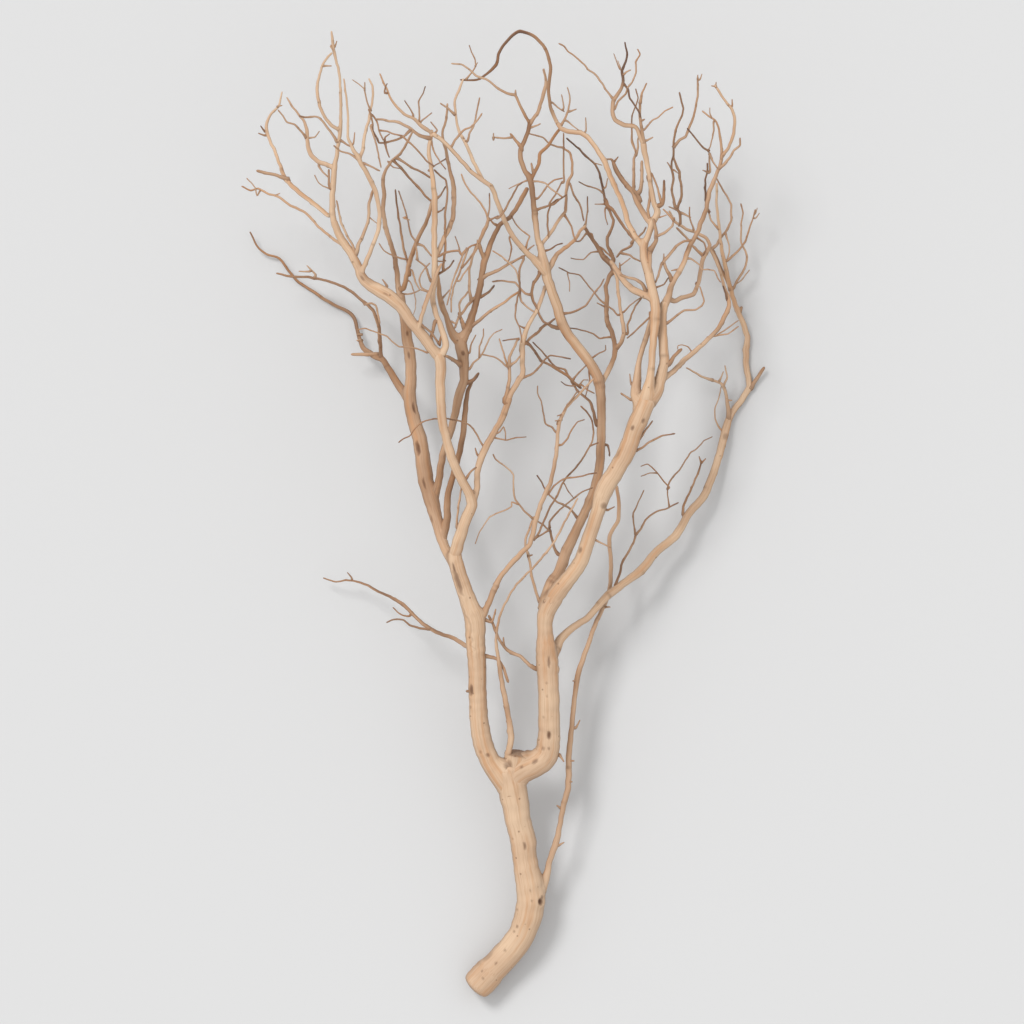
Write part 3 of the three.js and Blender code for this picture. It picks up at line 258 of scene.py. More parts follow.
# Fine twigs: radius at the base and at the tip, climb to the tip, then points seen from above, all in mm.
# The points are measured from the box's corner, and a climb of None ends level with the limb it meets.
twigs = {
    "pale": [
        (1.6, 1.2, 14, [(300, 395), (294, 409), (290, 424), (288, 439), (286, 446), (284, 451),
            (284, 459), (288, 471), (292, 481)]),
        (2, 1.7, 4, [(136, 645), (130, 645), (120, 645), (112, 645)]),
        (1.4, 0.9, 3, [(120, 665), (116, 665)]),
        (1.4, 0.9, 3, [(120, 659), (116, 659)]),
        (1.2, 0.8, 4, [(74, 724), (70, 729), (66, 733)]),
        (1, 0.7, 2, [(68, 728), (58, 728)]),
        (1.5, 1, 14, [(114, 744), (112, 752), (108, 759), (104, 767), (100, 776), (98, 787), (96, 796)]),
        (2, 1.5, 16, [(114, 743), (116, 747), (118, 755), (122, 763), (126, 773), (128, 784), (128, 794),
            (132, 807)]),
        (2.4, 1.4, 16, [(488, 579), (488, 583), (486, 599), (484, 609), (480, 616), (472, 619)]),
        (1.4, 0.9, 10, [(472, 619), (460, 623), (450, 629), (446, 631)]),
        (1.1, 0.7, 2, [(478, 618), (482, 627)]),
        (1.2, 0.7, 4, [(482, 613), (486, 622), (484, 633)]),
        (1, 0.7, 1, [(486, 599), (490, 599)]),
        (0.9, 0.6, 6, [(484, 566), (478, 572), (474, 581), (474, 591), (478, 602), (480, 612)]),
    ],
    "warm": [
        (1.9, 1.6, 8, [(244, 343), (256, 340), (262, 331), (266, 319)]),
        (1.6, 0.9, 4, [(242, 380), (250, 377), (254, 389)]),
        (1.3, 0.9, 2, [(232, 308), (226, 308)]),
        (2.1, 1.4, None, [(296, 330), (288, 334), (280, 342), (266, 349), (260, 356), (256, 363),
            (252, 374), (248, 382)]),
        (1.2, 0.8, 3, [(262, 355), (262, 361)]),
        (1.3, 0.7, 3, [(316, 153), (322, 156)]),
        (1.3, 0.7, 3, [(320, 190), (316, 193)]),
        (1.2, 0.7, 3, [(326, 217), (330, 217)]),
        (1.2, 0.7, 3, [(326, 238), (332, 238)]),
        (1.4, 0.8, 5, [(318, 244), (322, 238)]),
        (1.3, 0.8, 4, [(334, 271), (338, 278)]),
        (1.2, 0.7, 3, [(336, 318), (332, 318)]),
        (1.2, 0.7, 3, [(362, 392), (368, 392)]),
        (1.1, 0.8, 6, [(354, 459), (360, 456), (368, 452)]),
        (1.2, 0.8, 2, [(286, 443), (290, 444)]),
        (1.1, 0.8, 14, [(292, 480), (284, 487), (278, 494), (274, 499), (272, 509), (272, 519),
            (272, 524), (266, 531), (260, 535), (254, 540), (252, 544)]),
        (0.9, 0.6, 8, [(276, 495), (270, 497), (270, 493), (264, 489), (256, 486), (248, 482),
            (244, 476), (238, 467), (234, 456)]),
        (2.3, 1.7, 6, [(264, 596), (266, 608), (268, 620), (268, 632)]),
        (1.7, 1.2, 6, [(268, 632), (268, 642), (272, 650), (276, 659)]),
        (1.2, 0.8, 5, [(268, 629), (266, 633), (262, 646), (258, 659)]),
        (1.1, 0.8, 5, [(268, 631), (264, 633), (260, 637), (252, 642), (242, 644)]),
        (1.3, 0.9, 4, [(268, 633), (274, 637), (278, 642)]),
        (1.3, 1, 8, [(216, 471), (216, 484), (218, 499), (220, 511)]),
        (1.3, 0.9, 6, [(122, 695), (130, 696), (134, 694), (136, 686), (138, 677)]),
        (1, 0.7, 4, [(164, 740), (156, 742), (148, 745), (142, 749), (138, 755)]),
        (0.7, 0.5, 3, [(128, 781), (134, 776), (138, 773)]),
        (1, 0.7, 10, [(186, 646), (176, 650), (168, 651), (158, 652), (152, 656), (146, 662), (138, 665),
            (130, 668), (124, 670), (118, 669)]),
        (1.2, 0.8, 3, [(146, 712), (142, 718)]),
        (0.8, 0.6, 4, [(16, 803), (14, 811), (6, 820)]),
        (0.8, 0.6, 2, [(34, 803), (38, 805)]),
        (1.3, 0.9, 6, [(176, 755), (182, 753), (186, 748), (190, 743)]),
        (1.4, 0.9, 8, [(190, 717), (186, 727), (184, 732), (180, 735), (176, 738)]),
        (1, 0.8, 8, [(186, 707), (180, 711), (178, 718), (180, 724), (184, 730), (188, 734)]),
        (1, 0.8, 8, [(170, 729), (174, 717), (178, 710), (186, 707)]),
        (1, 0.7, 6, [(160, 705), (166, 705), (174, 707), (178, 709)]),
        (0.7, 0.5, 6, [(168, 718), (172, 709), (174, 699), (174, 691), (172, 685)]),
        (1, 0.7, 3, [(82, 931), (90, 931)]),
        (0.9, 0.6, 2, [(94, 950), (96, 955)]),
        (0.9, 0.6, 2, [(90, 951), (92, 947)]),
        (1.4, 1, 14, [(96, 856), (94, 860), (88, 868), (82, 876), (78, 880), (74, 881), (68, 880),
            (64, 880), (60, 881)]),
        (1.3, 0.8, 8, [(66, 859), (64, 862), (60, 867), (54, 873), (46, 876), (42, 882), (38, 887)]),
        (0.9, 0.7, 4, [(68, 860), (74, 861), (78, 866)]),
        (1.2, 0.8, 4, [(78, 832), (82, 826), (88, 820)]),
        (1.4, 1.1, 3, [(90, 809), (88, 820), (88, 827)]),
        (0.8, 0.6, 6, [(90, 809), (82, 812), (78, 815), (74, 822)]),
        (2, 1.6, 4, [(48, 819), (44, 820), (36, 823), (26, 825), (18, 827)]),
        (1, 0.7, 3, [(24, 863), (18, 865)]),
        (1, 0.7, 2, [(36, 892), (40, 893)]),
        (1, 0.7, 8, [(130, 886), (126, 896), (124, 906), (124, 914)]),
        (0.8, 0.5, 4, [(124, 907), (118, 913), (112, 917)]),
        (1.1, 0.8, 6, [(130, 883), (136, 876), (138, 867), (142, 858)]),
        (1.1, 0.8, 8, [(130, 872), (132, 864), (136, 851), (138, 840), (140, 831)]),
        (1.3, 0.9, 8, [(122, 833), (120, 835), (114, 840), (108, 844), (100, 846), (94, 851)]),
        (1.3, 0.9, 4, [(100, 857), (106, 853), (110, 851)]),
        (1.3, 0.9, 5, [(122, 834), (132, 830), (138, 827)]),
        (0.9, 0.6, 3, [(112, 853), (114, 864)]),
        (2, 1.2, 10, [(190, 859), (178, 862), (172, 867), (166, 871), (160, 874), (154, 876), (148, 876),
            (142, 878), (136, 878)]),
        (1.2, 0.9, 10, [(226, 748), (224, 742), (220, 730), (216, 720), (212, 710), (210, 697),
            (210, 687)]),
        (1.1, 0.8, 10, [(226, 750), (222, 744), (218, 734), (214, 724), (210, 712), (208, 702),
            (206, 694)]),
        (1.1, 0.8, 6, [(220, 730), (224, 734), (230, 742), (236, 752), (236, 757)]),
        (0.9, 0.7, 6, [(218, 717), (222, 724), (228, 731), (230, 739), (236, 749)]),
        (1, 0.8, None, [(200, 699), (208, 708)]),
        (1.8, 1.2, 6, [(238, 702), (232, 700), (230, 697), (226, 693), (222, 687), (218, 682),
            (216, 678), (214, 672)]),
        (1.4, 1, 5, [(218, 681), (218, 694), (220, 699), (224, 703), (226, 706)]),
        (1.6, 1.1, 10, [(230, 697), (228, 709), (228, 719), (228, 729), (230, 737), (232, 744),
            (234, 751)]),
        (2.1, 1.5, 4, [(224, 668), (222, 673), (220, 679), (218, 684)]),
        (1.1, 0.8, 2, [(210, 677), (214, 675)]),
        (2.3, 1.8, None, [(220, 633), (212, 639), (206, 642)]),
        (1.2, 0.6, 8, [(228, 630), (232, 636), (238, 641), (242, 647), (248, 660), (252, 665),
            (260, 669)]),
        (1, 0.7, 6, [(238, 641), (238, 652), (242, 663), (242, 669)]),
        (1, 0.7, 5, [(228, 646), (230, 655), (234, 663)]),
        (1.9, 1.2, 8, [(226, 671), (230, 673), (238, 678), (242, 682), (248, 687), (256, 692),
            (264, 697), (270, 702), (278, 707)]),
        (1.3, 0.9, 4, [(278, 706), (280, 697), (286, 691), (292, 687)]),
        (2.1, 1.2, 8, [(238, 720), (242, 721), (246, 724), (252, 726), (260, 730), (268, 735),
            (274, 738), (282, 742)]),
        (1, 0.8, 7, [(278, 707), (278, 715), (276, 723), (274, 729), (268, 735), (260, 742), (252, 747)]),
        (1.3, 0.9, 5, [(288, 704), (284, 705), (278, 711), (274, 716), (266, 717), (260, 718),
            (252, 717)]),
        (1, 0.7, 3, [(284, 747), (292, 753)]),
        (1.1, 0.8, 3, [(290, 871), (296, 873), (298, 874)]),
        (1.1, 0.8, 6, [(322, 851), (316, 852), (308, 855), (302, 861), (296, 863), (288, 865)]),
        (1.9, 1.4, 4, [(280, 848), (280, 850), (274, 858), (270, 863)]),
        (1.2, 0.8, 3, [(270, 861), (262, 860), (252, 861)]),
        (1, 0.7, 2, [(252, 858), (252, 864)]),
        (1.4, 1, 2, [(292, 826), (290, 834)]),
        (1.1, 0.8, 6, [(288, 817), (296, 817), (304, 815), (310, 809), (320, 802)]),
        (0.9, 0.6, 4, [(286, 818), (278, 815), (268, 810)]),
        (1, 0.7, 3, [(302, 928), (304, 918)]),
        (1, 0.7, 2, [(274, 903), (274, 907)]),
        (1, 0.6, 6, [(224, 918), (230, 925), (234, 932), (234, 938), (230, 946), (228, 952)]),
        (0.8, 0.5, 2, [(234, 932), (236, 935)]),
        (1.2, 0.8, 8, [(226, 857), (228, 864), (232, 872), (234, 878), (236, 890), (238, 899)]),
        (1.3, 0.9, 8, [(210, 851), (214, 858), (222, 867), (230, 871), (236, 877), (240, 883)]),
        (1.3, 0.9, 4, [(214, 883), (206, 890), (200, 894)]),
        (1.3, 0.7, 8, [(320, 874), (324, 881), (326, 886), (328, 895), (328, 903), (326, 910)]),
        (1.1, 0.7, 2, [(328, 887), (334, 889)]),
        (0.9, 0.6, 3, [(322, 890), (320, 903)]),
        (1, 0.7, 3, [(310, 896), (316, 891), (322, 887)]),
        (1, 0.7, 3, [(324, 878), (332, 872), (336, 869)]),
        (0.9, 0.6, 2, [(344, 867), (344, 880)]),
        (2, 1.4, 12, [(402, 852), (400, 867), (398, 879), (398, 894)]),
        (1.4, 0.9, 6, [(398, 894), (400, 904), (404, 913)]),
        (1, 0.7, 1, [(400, 877), (402, 878)]),
        (1.2, 0.8, 10, [(372, 888), (376, 896), (384, 904), (386, 910), (390, 915), (394, 925),
            (394, 936), (398, 943), (396, 947)]),
        (1, 0.7, 6, [(402, 868), (410, 877), (416, 880), (422, 886), (430, 890)]),
        (1.1, 0.8, 2, [(404, 857), (410, 860)]),
        (0.8, 0.5, 3, [(378, 928), (376, 932), (374, 938), (372, 943)]),
        (0.8, 0.5, 2, [(378, 929), (376, 936)]),
        (1, 0.7, 3, [(382, 923), (384, 925), (388, 927)]),
        (1.2, 0.8, 14, [(370, 900), (364, 908), (358, 917), (356, 920), (352, 924), (346, 928),
            (342, 933), (334, 940), (326, 946), (322, 951), (318, 953)]),
        (2, 2.3, 6, [(410, 714), (408, 729), (408, 748)]),
        (2.4, 1.6, 5, [(408, 747), (414, 758), (414, 767), (412, 777)]),
        (1.6, 1.1, 6, [(414, 761), (422, 765), (430, 772), (432, 779)]),
        (0.9, 0.6, 2, [(416, 781), (424, 783)]),
        (1.4, 0.9, 8, [(420, 795), (418, 800), (416, 809), (410, 824)]),
        (1.4, 1.8, 8, [(408, 776), (406, 788), (408, 800), (408, 813), (406, 820)]),
        (2, 1.4, 8, [(398, 797), (396, 804), (392, 808), (392, 820), (392, 830), (392, 839), (394, 844)]),
        (1.3, 0.9, 5, [(394, 843), (390, 856), (390, 871)]),
        (1.3, 0.9, 5, [(394, 843), (396, 851), (396, 858), (398, 864)]),
        (2, 1.6, 4, [(398, 807), (400, 820), (400, 829), (400, 835)]),
        (2, 1.4, 8, [(404, 707), (400, 715), (394, 719), (386, 721), (380, 723)]),
        (1.4, 0.8, 12, [(424, 675), (430, 679), (436, 684), (442, 688), (454, 689), (460, 693),
            (462, 697), (460, 705), (458, 711)]),
        (1.9, 1.4, 10, [(430, 717), (428, 723), (424, 730), (422, 737), (428, 744), (434, 752),
            (442, 757), (448, 758)]),
        (0.9, 0.6, 1, [(422, 738), (422, 744)]),
        (1.4, 1, 3, [(420, 735), (418, 728), (414, 717)]),
        (0.9, 0.6, 1, [(436, 729), (430, 728)]),
        (0.9, 0.6, 1, [(466, 827), (462, 829)]),
        (1.3, 0.9, 4, [(468, 827), (468, 839), (468, 846)]),
        (1.2, 0.9, 4, [(468, 846), (472, 837), (476, 831)]),
        (1, 0.7, 4, [(472, 877), (472, 868), (470, 859), (468, 851), (466, 848)]),
        (0.8, 0.5, 2, [(470, 880), (468, 885), (468, 890)]),
        (1.6, 1, 8, [(476, 829), (482, 834), (488, 841), (492, 848), (498, 853), (498, 859)]),
        (0.9, 0.6, 1, [(474, 911), (470, 912)]),
        (0.9, 0.6, 1, [(474, 911), (474, 915)]),
        (0.9, 0.6, 1, [(490, 892), (490, 898)]),
        (1.6, 1, 12, [(432, 852), (434, 854), (438, 859), (444, 862), (446, 867), (448, 873), (452, 882),
            (454, 892), (456, 903), (456, 913), (456, 920)]),
        (0.9, 0.5, 1, [(456, 919), (456, 923)]),
        (0.9, 0.5, 1, [(458, 919), (460, 924)]),
        (0.9, 0.6, 2, [(430, 830), (426, 836)]),
        (0.9, 0.6, 1, [(432, 829), (436, 826)]),
        (1, 0.7, 2, [(436, 789), (428, 792)]),
        (1.3, 1, 3, [(440, 786), (448, 782)]),
        (1, 0.7, 3, [(452, 770), (448, 781), (448, 791)]),
        (1.3, 0.9, 4, [(432, 777), (428, 782), (422, 788)]),
        (1.5, 1.2, 8, [(462, 743), (456, 748), (450, 754), (444, 762), (436, 770)]),
        (1, 0.7, 1, [(454, 716), (456, 711)]),
        (1, 0.7, 4, [(472, 663), (478, 664), (486, 665), (496, 672)]),
        (0.9, 0.6, 4, [(476, 664), (482, 668), (496, 678)]),
        (0.7, 0.5, 3, [(450, 647), (446, 652), (440, 654), (436, 653), (436, 650)]),
        (1, 0.7, 8, [(446, 740), (448, 740), (458, 733), (460, 729), (466, 729), (472, 728), (476, 720),
            (478, 717)]),
        (1.4, 0.8, 14, [(492, 711), (496, 719), (502, 728), (506, 739), (506, 743), (504, 749),
            (500, 757), (500, 765), (500, 776), (502, 786), (500, 795)]),
        (0.8, 0.6, 3, [(492, 712), (500, 719), (504, 724), (508, 729)]),
        (1.3, 0.8, 10, [(486, 739), (492, 744), (500, 752), (504, 758), (508, 770), (510, 776),
            (512, 782), (514, 789)]),
        (0.8, 0.5, 1, [(514, 781), (518, 786)]),
        (0.8, 0.5, 1, [(514, 786), (516, 791)]),
        (2.1, 1.7, 8, [(490, 709), (488, 716), (484, 723), (480, 730), (476, 740), (472, 748),
            (470, 750)]),
        (1.5, 0.9, 14, [(470, 750), (476, 755), (478, 760), (484, 767), (490, 779), (490, 789),
            (490, 795), (484, 806), (478, 816), (476, 820)]),
        (1, 0.7, 5, [(484, 767), (486, 761), (488, 754), (488, 747), (486, 740)]),
        (1.2, 0.8, 4, [(478, 770), (476, 772), (470, 779), (468, 785), (466, 791)]),
        (1.8, 1.4, 1, [(498, 686), (500, 691)]),
        (2.2, 1.8, 4, [(510, 611), (512, 615), (518, 624), (522, 630)]),
        (1.3, 0.9, 2, [(390, 599), (380, 605)]),
        (1.1, 0.7, 2, [(390, 614), (388, 624)]),
    ],
    "brown": [
        (1.6, 1.2, 8, [(316, 445), (312, 454), (310, 462), (308, 471)]),
        (1.1, 0.8, 4, [(308, 469), (302, 474), (296, 478)]),
        (1.1, 0.8, 10, [(308, 473), (308, 477), (318, 489), (326, 496), (334, 502), (340, 507),
            (350, 511)]),
        (1, 0.8, 4, [(308, 469), (304, 467), (292, 459)]),
        (1.2, 0.9, 16, [(292, 459), (296, 464), (302, 477), (308, 491), (316, 504), (320, 514),
            (326, 523), (334, 531), (340, 539), (346, 549), (350, 556), (352, 567), (350, 579),
            (346, 586), (340, 592)]),
        (0.9, 0.7, 2, [(348, 553), (356, 556)]),
        (1.1, 0.8, 8, [(306, 505), (310, 510), (318, 518), (326, 521), (336, 522), (348, 525),
            (354, 526)]),
        (1.3, 0.8, 10, [(338, 479), (336, 481), (328, 491), (316, 497), (308, 504), (304, 509),
            (300, 517), (296, 523)]),
        (0.7, 0.5, 3, [(322, 516), (326, 509), (332, 501)]),
        (1.2, 0.8, 8, [(316, 575), (320, 583), (326, 594), (332, 602), (336, 608)]),
        (0.9, 0.6, 3, [(320, 579), (314, 578)]),
        (0.9, 0.6, 3, [(322, 585), (316, 583)]),
        (1, 0.7, 8, [(314, 567), (310, 572), (304, 575), (302, 584), (300, 596), (296, 606), (296, 612)]),
        (1, 0.7, 6, [(320, 554), (326, 561), (330, 569), (336, 577), (342, 579)]),
        (1.4, 0.8, 8, [(188, 370), (178, 371), (168, 374), (162, 379), (156, 380), (150, 379),
            (146, 377)]),
        (1, 0.7, 4, [(168, 383), (160, 384), (156, 387), (152, 391)]),
        (0.9, 0.6, 2, [(110, 421), (106, 426)]),
        (1.1, 0.8, 2, [(236, 544), (234, 550)]),
        (1.3, 1, 6, [(224, 520), (230, 528), (234, 531)]),
        (0.9, 0.6, 8, [(252, 564), (258, 567), (262, 572), (264, 566), (264, 560)]),
        (0.9, 0.6, 4, [(254, 561), (264, 559), (274, 561), (284, 562)]),
        (1, 0.7, 12, [(242, 553), (236, 563), (232, 570), (226, 575), (218, 578), (206, 580), (194, 580),
            (184, 578), (178, 575), (168, 563), (162, 560), (158, 557)]),
        (1.9, 1.1, 12, [(356, 574), (352, 587), (348, 598), (336, 608), (330, 617)]),
        (1.5, 1, 16, [(168, 724), (166, 737), (162, 751), (160, 764), (158, 777), (156, 789),
            (154, 808)]),
        (1.1, 0.7, 12, [(176, 741), (174, 757), (170, 763), (168, 771), (166, 781), (162, 794),
            (158, 806)]),
        (0.9, 0.6, 2, [(162, 780), (168, 778)]),
        (1.5, 1.2, None, [(178, 677), (182, 672), (190, 666), (198, 654)]),
        (1.9, 1.3, None, [(194, 677), (192, 669), (190, 661), (194, 649)]),
        (1.3, 1, 2, [(198, 654), (200, 663)]),
        (1, 0.7, 4, [(172, 881), (164, 896)]),
        (1, 0.7, 6, [(178, 877), (178, 897), (182, 904), (184, 910)]),
        (0.9, 0.7, 3, [(180, 876), (190, 884)]),
        (1.3, 0.9, 12, [(170, 868), (164, 862), (156, 858), (146, 855), (138, 855), (136, 859),
            (132, 867), (132, 873), (130, 882), (128, 887)]),
        (1.1, 0.8, 3, [(144, 855), (146, 846), (148, 841)]),
        (1.1, 0.7, 3, [(144, 856), (144, 860), (148, 863)]),
        (0.9, 0.6, 3, [(146, 838), (152, 832), (158, 831)]),
        (1.5, 1.2, 8, [(152, 839), (160, 831), (168, 821), (178, 811), (184, 803), (190, 798)]),
        (1.4, 1.1, 6, [(156, 841), (164, 836), (172, 831), (180, 827), (190, 821)]),
        (1.1, 0.9, 6, [(160, 862), (166, 857), (174, 850), (180, 843), (186, 836), (192, 832)]),
        (1, 0.8, 4, [(138, 867), (146, 866), (154, 863), (160, 862)]),
        (1, 0.6, 3, [(144, 904), (144, 909), (146, 913)]),
        (0.9, 0.7, 3, [(196, 867), (190, 875)]),
        (1, 0.7, 6, [(190, 857), (192, 848), (198, 837), (204, 829)]),
        (1, 0.8, None, [(188, 827), (204, 839)]),
        (1.4, 1, 8, [(196, 742), (204, 745), (210, 747), (218, 747), (220, 743), (224, 748), (230, 752),
            (236, 754)]),
        (0.8, 0.6, 3, [(218, 748), (216, 756), (214, 761)]),
        (1, 0.8, 2, [(204, 737), (196, 737)]),
        (1.4, 1, 16, [(202, 730), (204, 748), (204, 761), (204, 787), (206, 799), (206, 809), (204, 818),
            (198, 823), (194, 827)]),
        (1.1, 0.8, None, [(196, 786), (204, 791)]),
        (1.3, 1, None, [(196, 800), (204, 811)]),
        (1.2, 0.8, 12, [(282, 740), (278, 730), (278, 720), (278, 710), (276, 700), (274, 689),
            (274, 680), (278, 671), (280, 661), (280, 657)]),
        (1, 0.7, 3, [(246, 782), (248, 789), (248, 804)]),
        (1, 0.8, 2, [(250, 779), (256, 782)]),
        (1.3, 0.9, 8, [(256, 780), (262, 786), (268, 797), (274, 808), (276, 812), (280, 815)]),
        (1.3, 0.9, 3, [(256, 773), (252, 775), (248, 780)]),
        (1, 0.7, 8, [(284, 749), (286, 757), (288, 762), (280, 768), (274, 775), (270, 782)]),
        (1, 0.7, 5, [(268, 761), (270, 752), (268, 740), (266, 735)]),
        (1.7, 1.2, 8, [(298, 727), (298, 725), (292, 715), (290, 705), (292, 697), (296, 689),
            (298, 683), (302, 677), (306, 675), (312, 679)]),
        (1.9, 1.4, None, [(316, 671), (310, 673), (306, 675), (300, 671), (296, 666), (288, 660),
            (284, 655)]),
        (1.3, 0.8, 10, [(322, 685), (332, 687), (344, 693), (352, 705), (358, 712), (362, 719)]),
        (0.9, 0.6, 4, [(352, 642), (358, 646), (364, 649), (364, 653)]),
        (1.1, 0.8, 8, [(322, 816), (322, 825), (322, 839), (322, 851), (322, 864)]),
        (1.2, 0.9, 8, [(306, 761), (306, 774), (306, 782), (308, 791), (310, 795), (316, 799)]),
        (1.3, 0.9, 6, [(296, 789), (304, 792), (312, 794), (318, 799), (324, 803)]),
        (1.1, 0.8, 6, [(296, 800), (306, 813), (312, 818), (320, 820)]),
        (1.1, 0.8, 4, [(308, 794), (314, 804), (320, 816)]),
        (1.2, 0.9, 6, [(322, 785), (326, 779), (330, 772), (332, 763), (334, 758)]),
        (1.2, 0.9, 6, [(328, 815), (332, 804), (338, 795), (340, 788), (342, 779)]),
        (1, 0.8, 3, [(344, 765), (338, 758), (334, 758)]),
        (1.1, 0.7, 6, [(344, 775), (346, 789), (346, 802)]),
        (1, 0.7, 6, [(368, 662), (358, 661), (352, 665), (344, 668), (336, 670), (328, 671)]),
        (1, 0.7, 10, [(376, 684), (372, 689), (366, 693), (358, 700), (352, 707), (344, 717), (338, 724),
            (328, 726), (322, 729), (318, 731)]),
        (0.7, 0.5, 3, [(326, 725), (328, 717), (328, 708)]),
        (0.8, 0.6, 2, [(364, 692), (356, 696)]),
        (0.9, 0.6, 6, [(358, 748), (350, 747), (342, 740), (334, 740), (330, 741)]),
        (1.1, 0.8, 3, [(358, 752), (364, 748), (370, 742)]),
        (0.9, 0.6, 1, [(350, 766), (352, 761)]),
        (1.9, 1.4, 10, [(372, 739), (370, 745), (366, 754), (366, 762), (370, 770), (372, 779),
            (368, 788), (364, 795)]),
        (0.8, 0.6, 2, [(362, 795), (354, 795)]),
        (0.9, 0.6, 3, [(364, 791), (364, 782), (366, 775)]),
        (0.8, 0.5, 2, [(352, 836), (360, 834)]),
        (1, 0.7, 5, [(362, 806), (358, 809), (354, 811), (346, 813), (338, 817)]),
        (0.9, 0.6, 2, [(364, 812), (366, 820)]),
        (1.9, 1.2, 14, [(364, 799), (366, 794), (372, 788), (378, 779), (384, 770), (388, 765),
            (392, 760), (390, 754), (386, 751), (380, 748), (376, 743)]),
        (1.3, 0.9, 4, [(390, 756), (398, 763), (402, 767), (404, 771)]),
        (1.3, 0.9, 4, [(380, 746), (384, 745), (388, 744), (392, 741), (398, 738)]),
        (0.9, 0.6, 3, [(378, 733), (384, 737), (388, 740)]),
        (1.1, 0.8, 2, [(378, 728), (378, 735)]),
        (1.1, 0.8, 6, [(408, 686), (408, 682), (400, 674), (394, 668), (386, 661)]),
        (1.2, 0.9, 6, [(386, 665), (386, 674), (390, 684), (394, 693), (400, 701)]),
        (0.9, 0.6, 5, [(382, 687), (388, 693), (394, 698), (400, 702)]),
        (1, 0.7, 10, [(394, 846), (390, 860), (390, 873), (390, 882), (394, 892), (396, 900),
            (394, 908)]),
        (1, 0.7, 2, [(372, 836), (376, 841)]),
        (1, 0.7, 2, [(370, 839), (362, 839)]),
        (2.1, 1.7, 3, [(426, 634), (428, 636), (432, 642), (438, 648)]),
        (1.6, 1, 20, [(438, 774), (438, 786), (436, 789), (440, 803), (440, 812), (438, 821), (438, 827),
            (434, 835), (432, 841), (432, 849), (432, 857), (434, 868), (436, 874), (440, 883),
            (442, 890), (440, 896), (438, 905)]),
        (1.5, 1.1, 8, [(434, 792), (432, 800), (430, 809), (432, 820), (430, 830), (430, 836),
            (432, 844)]),
        (1.4, 1, 12, [(442, 484), (442, 492), (446, 502), (450, 510), (454, 520), (458, 529),
            (460, 537)]),
        (0.9, 0.6, 1, [(460, 536), (458, 542)]),
        (0.9, 0.6, 1, [(460, 536), (464, 540)]),
        (1.5, 1.2, 8, [(374, 412), (378, 424), (380, 434), (386, 446), (392, 456), (394, 464)]),
        (1, 0.7, 6, [(394, 464), (392, 477), (392, 486), (394, 491), (398, 499), (402, 508)]),
        (1.2, 0.8, 6, [(394, 464), (400, 471), (404, 479), (408, 483), (416, 488), (424, 490),
            (428, 492), (436, 496)]),
        (0.9, 0.6, 3, [(428, 492), (426, 504), (426, 511)]),
        (0.9, 0.6, 6, [(428, 511), (422, 518), (416, 526), (410, 532), (406, 535), (400, 533)]),
        (0.8, 0.5, 3, [(416, 526), (408, 526), (400, 523)]),
        (1, 0.6, 8, [(426, 510), (428, 517), (432, 523), (438, 529), (444, 539), (450, 547), (456, 551),
            (462, 558), (470, 562)]),
        (1.4, 0.8, 8, [(386, 546), (394, 548), (400, 551), (406, 556), (414, 560), (420, 563),
            (432, 565)]),
        (1.3, 0.9, 5, [(396, 559), (404, 569), (410, 577)]),
        (1, 0.7, 1, [(366, 489), (372, 492)]),
    ],
    "grey": [
        (1.3, 0.8, 10, [(280, 621), (284, 622), (292, 626), (298, 632), (304, 640), (308, 643),
            (318, 642), (328, 640)]),
        (1.4, 1.6, None, [(288, 654), (294, 646), (300, 638), (310, 633), (318, 628), (326, 623),
            (332, 617), (338, 612)]),
        (1.1, 0.8, 8, [(326, 623), (324, 629), (314, 632), (306, 641), (298, 650), (292, 656)]),
        (1, 0.7, 3, [(278, 660), (268, 659), (262, 658)]),
        (0.9, 0.6, 3, [(282, 671), (278, 673)]),
        (1.1, 0.7, 5, [(332, 620), (338, 627), (344, 633)]),
        (0.9, 0.6, 5, [(336, 614), (330, 613), (324, 614), (320, 617)]),
        (0.8, 0.6, 3, [(338, 614), (342, 619), (346, 619)]),
        (0.9, 0.7, 5, [(348, 629), (348, 620), (346, 610), (344, 603)]),
        (1, 0.7, 3, [(340, 614), (346, 609), (352, 606)]),
        (2, 1.3, 6, [(420, 794), (422, 802), (422, 808), (422, 816)]),
    ],
    "dark": [
        (1, 0.7, 3, [(24, 867), (20, 872)]),
        (1.2, 0.9, 4, [(198, 725), (208, 731), (212, 737)]),
        (1.9, 1.6, 2, [(226, 616), (228, 617), (232, 619), (236, 624)]),
        (1.4, 1.1, 3, [(240, 702), (242, 703), (248, 707), (252, 712)]),
        (1, 0.8, 3, [(308, 749), (316, 754), (320, 755)]),
        (1.4, 1, 12, [(364, 795), (362, 808), (360, 817), (358, 826), (354, 834), (348, 840), (342, 845),
            (338, 850), (334, 853), (326, 860)]),
        (1.2, 0.9, 8, [(382, 913), (386, 908), (388, 899), (394, 890), (398, 883), (398, 881)]),
        (1, 0.7, 3, [(414, 711), (422, 714), (426, 720)]),
        (1.4, 1, 10, [(468, 787), (466, 791), (464, 811), (464, 820), (466, 827), (466, 835)]),
        (1.2, 0.8, 5, [(468, 847), (462, 850), (456, 857), (452, 862), (446, 869)]),
        (1, 0.8, 3, [(456, 760), (462, 756), (464, 749), (462, 744)]),
        (1.3, 0.9, 3, [(486, 699), (484, 706), (482, 712)]),
        (1.2, 0.8, 2, [(366, 554), (368, 546), (368, 544)]),
    ],
}

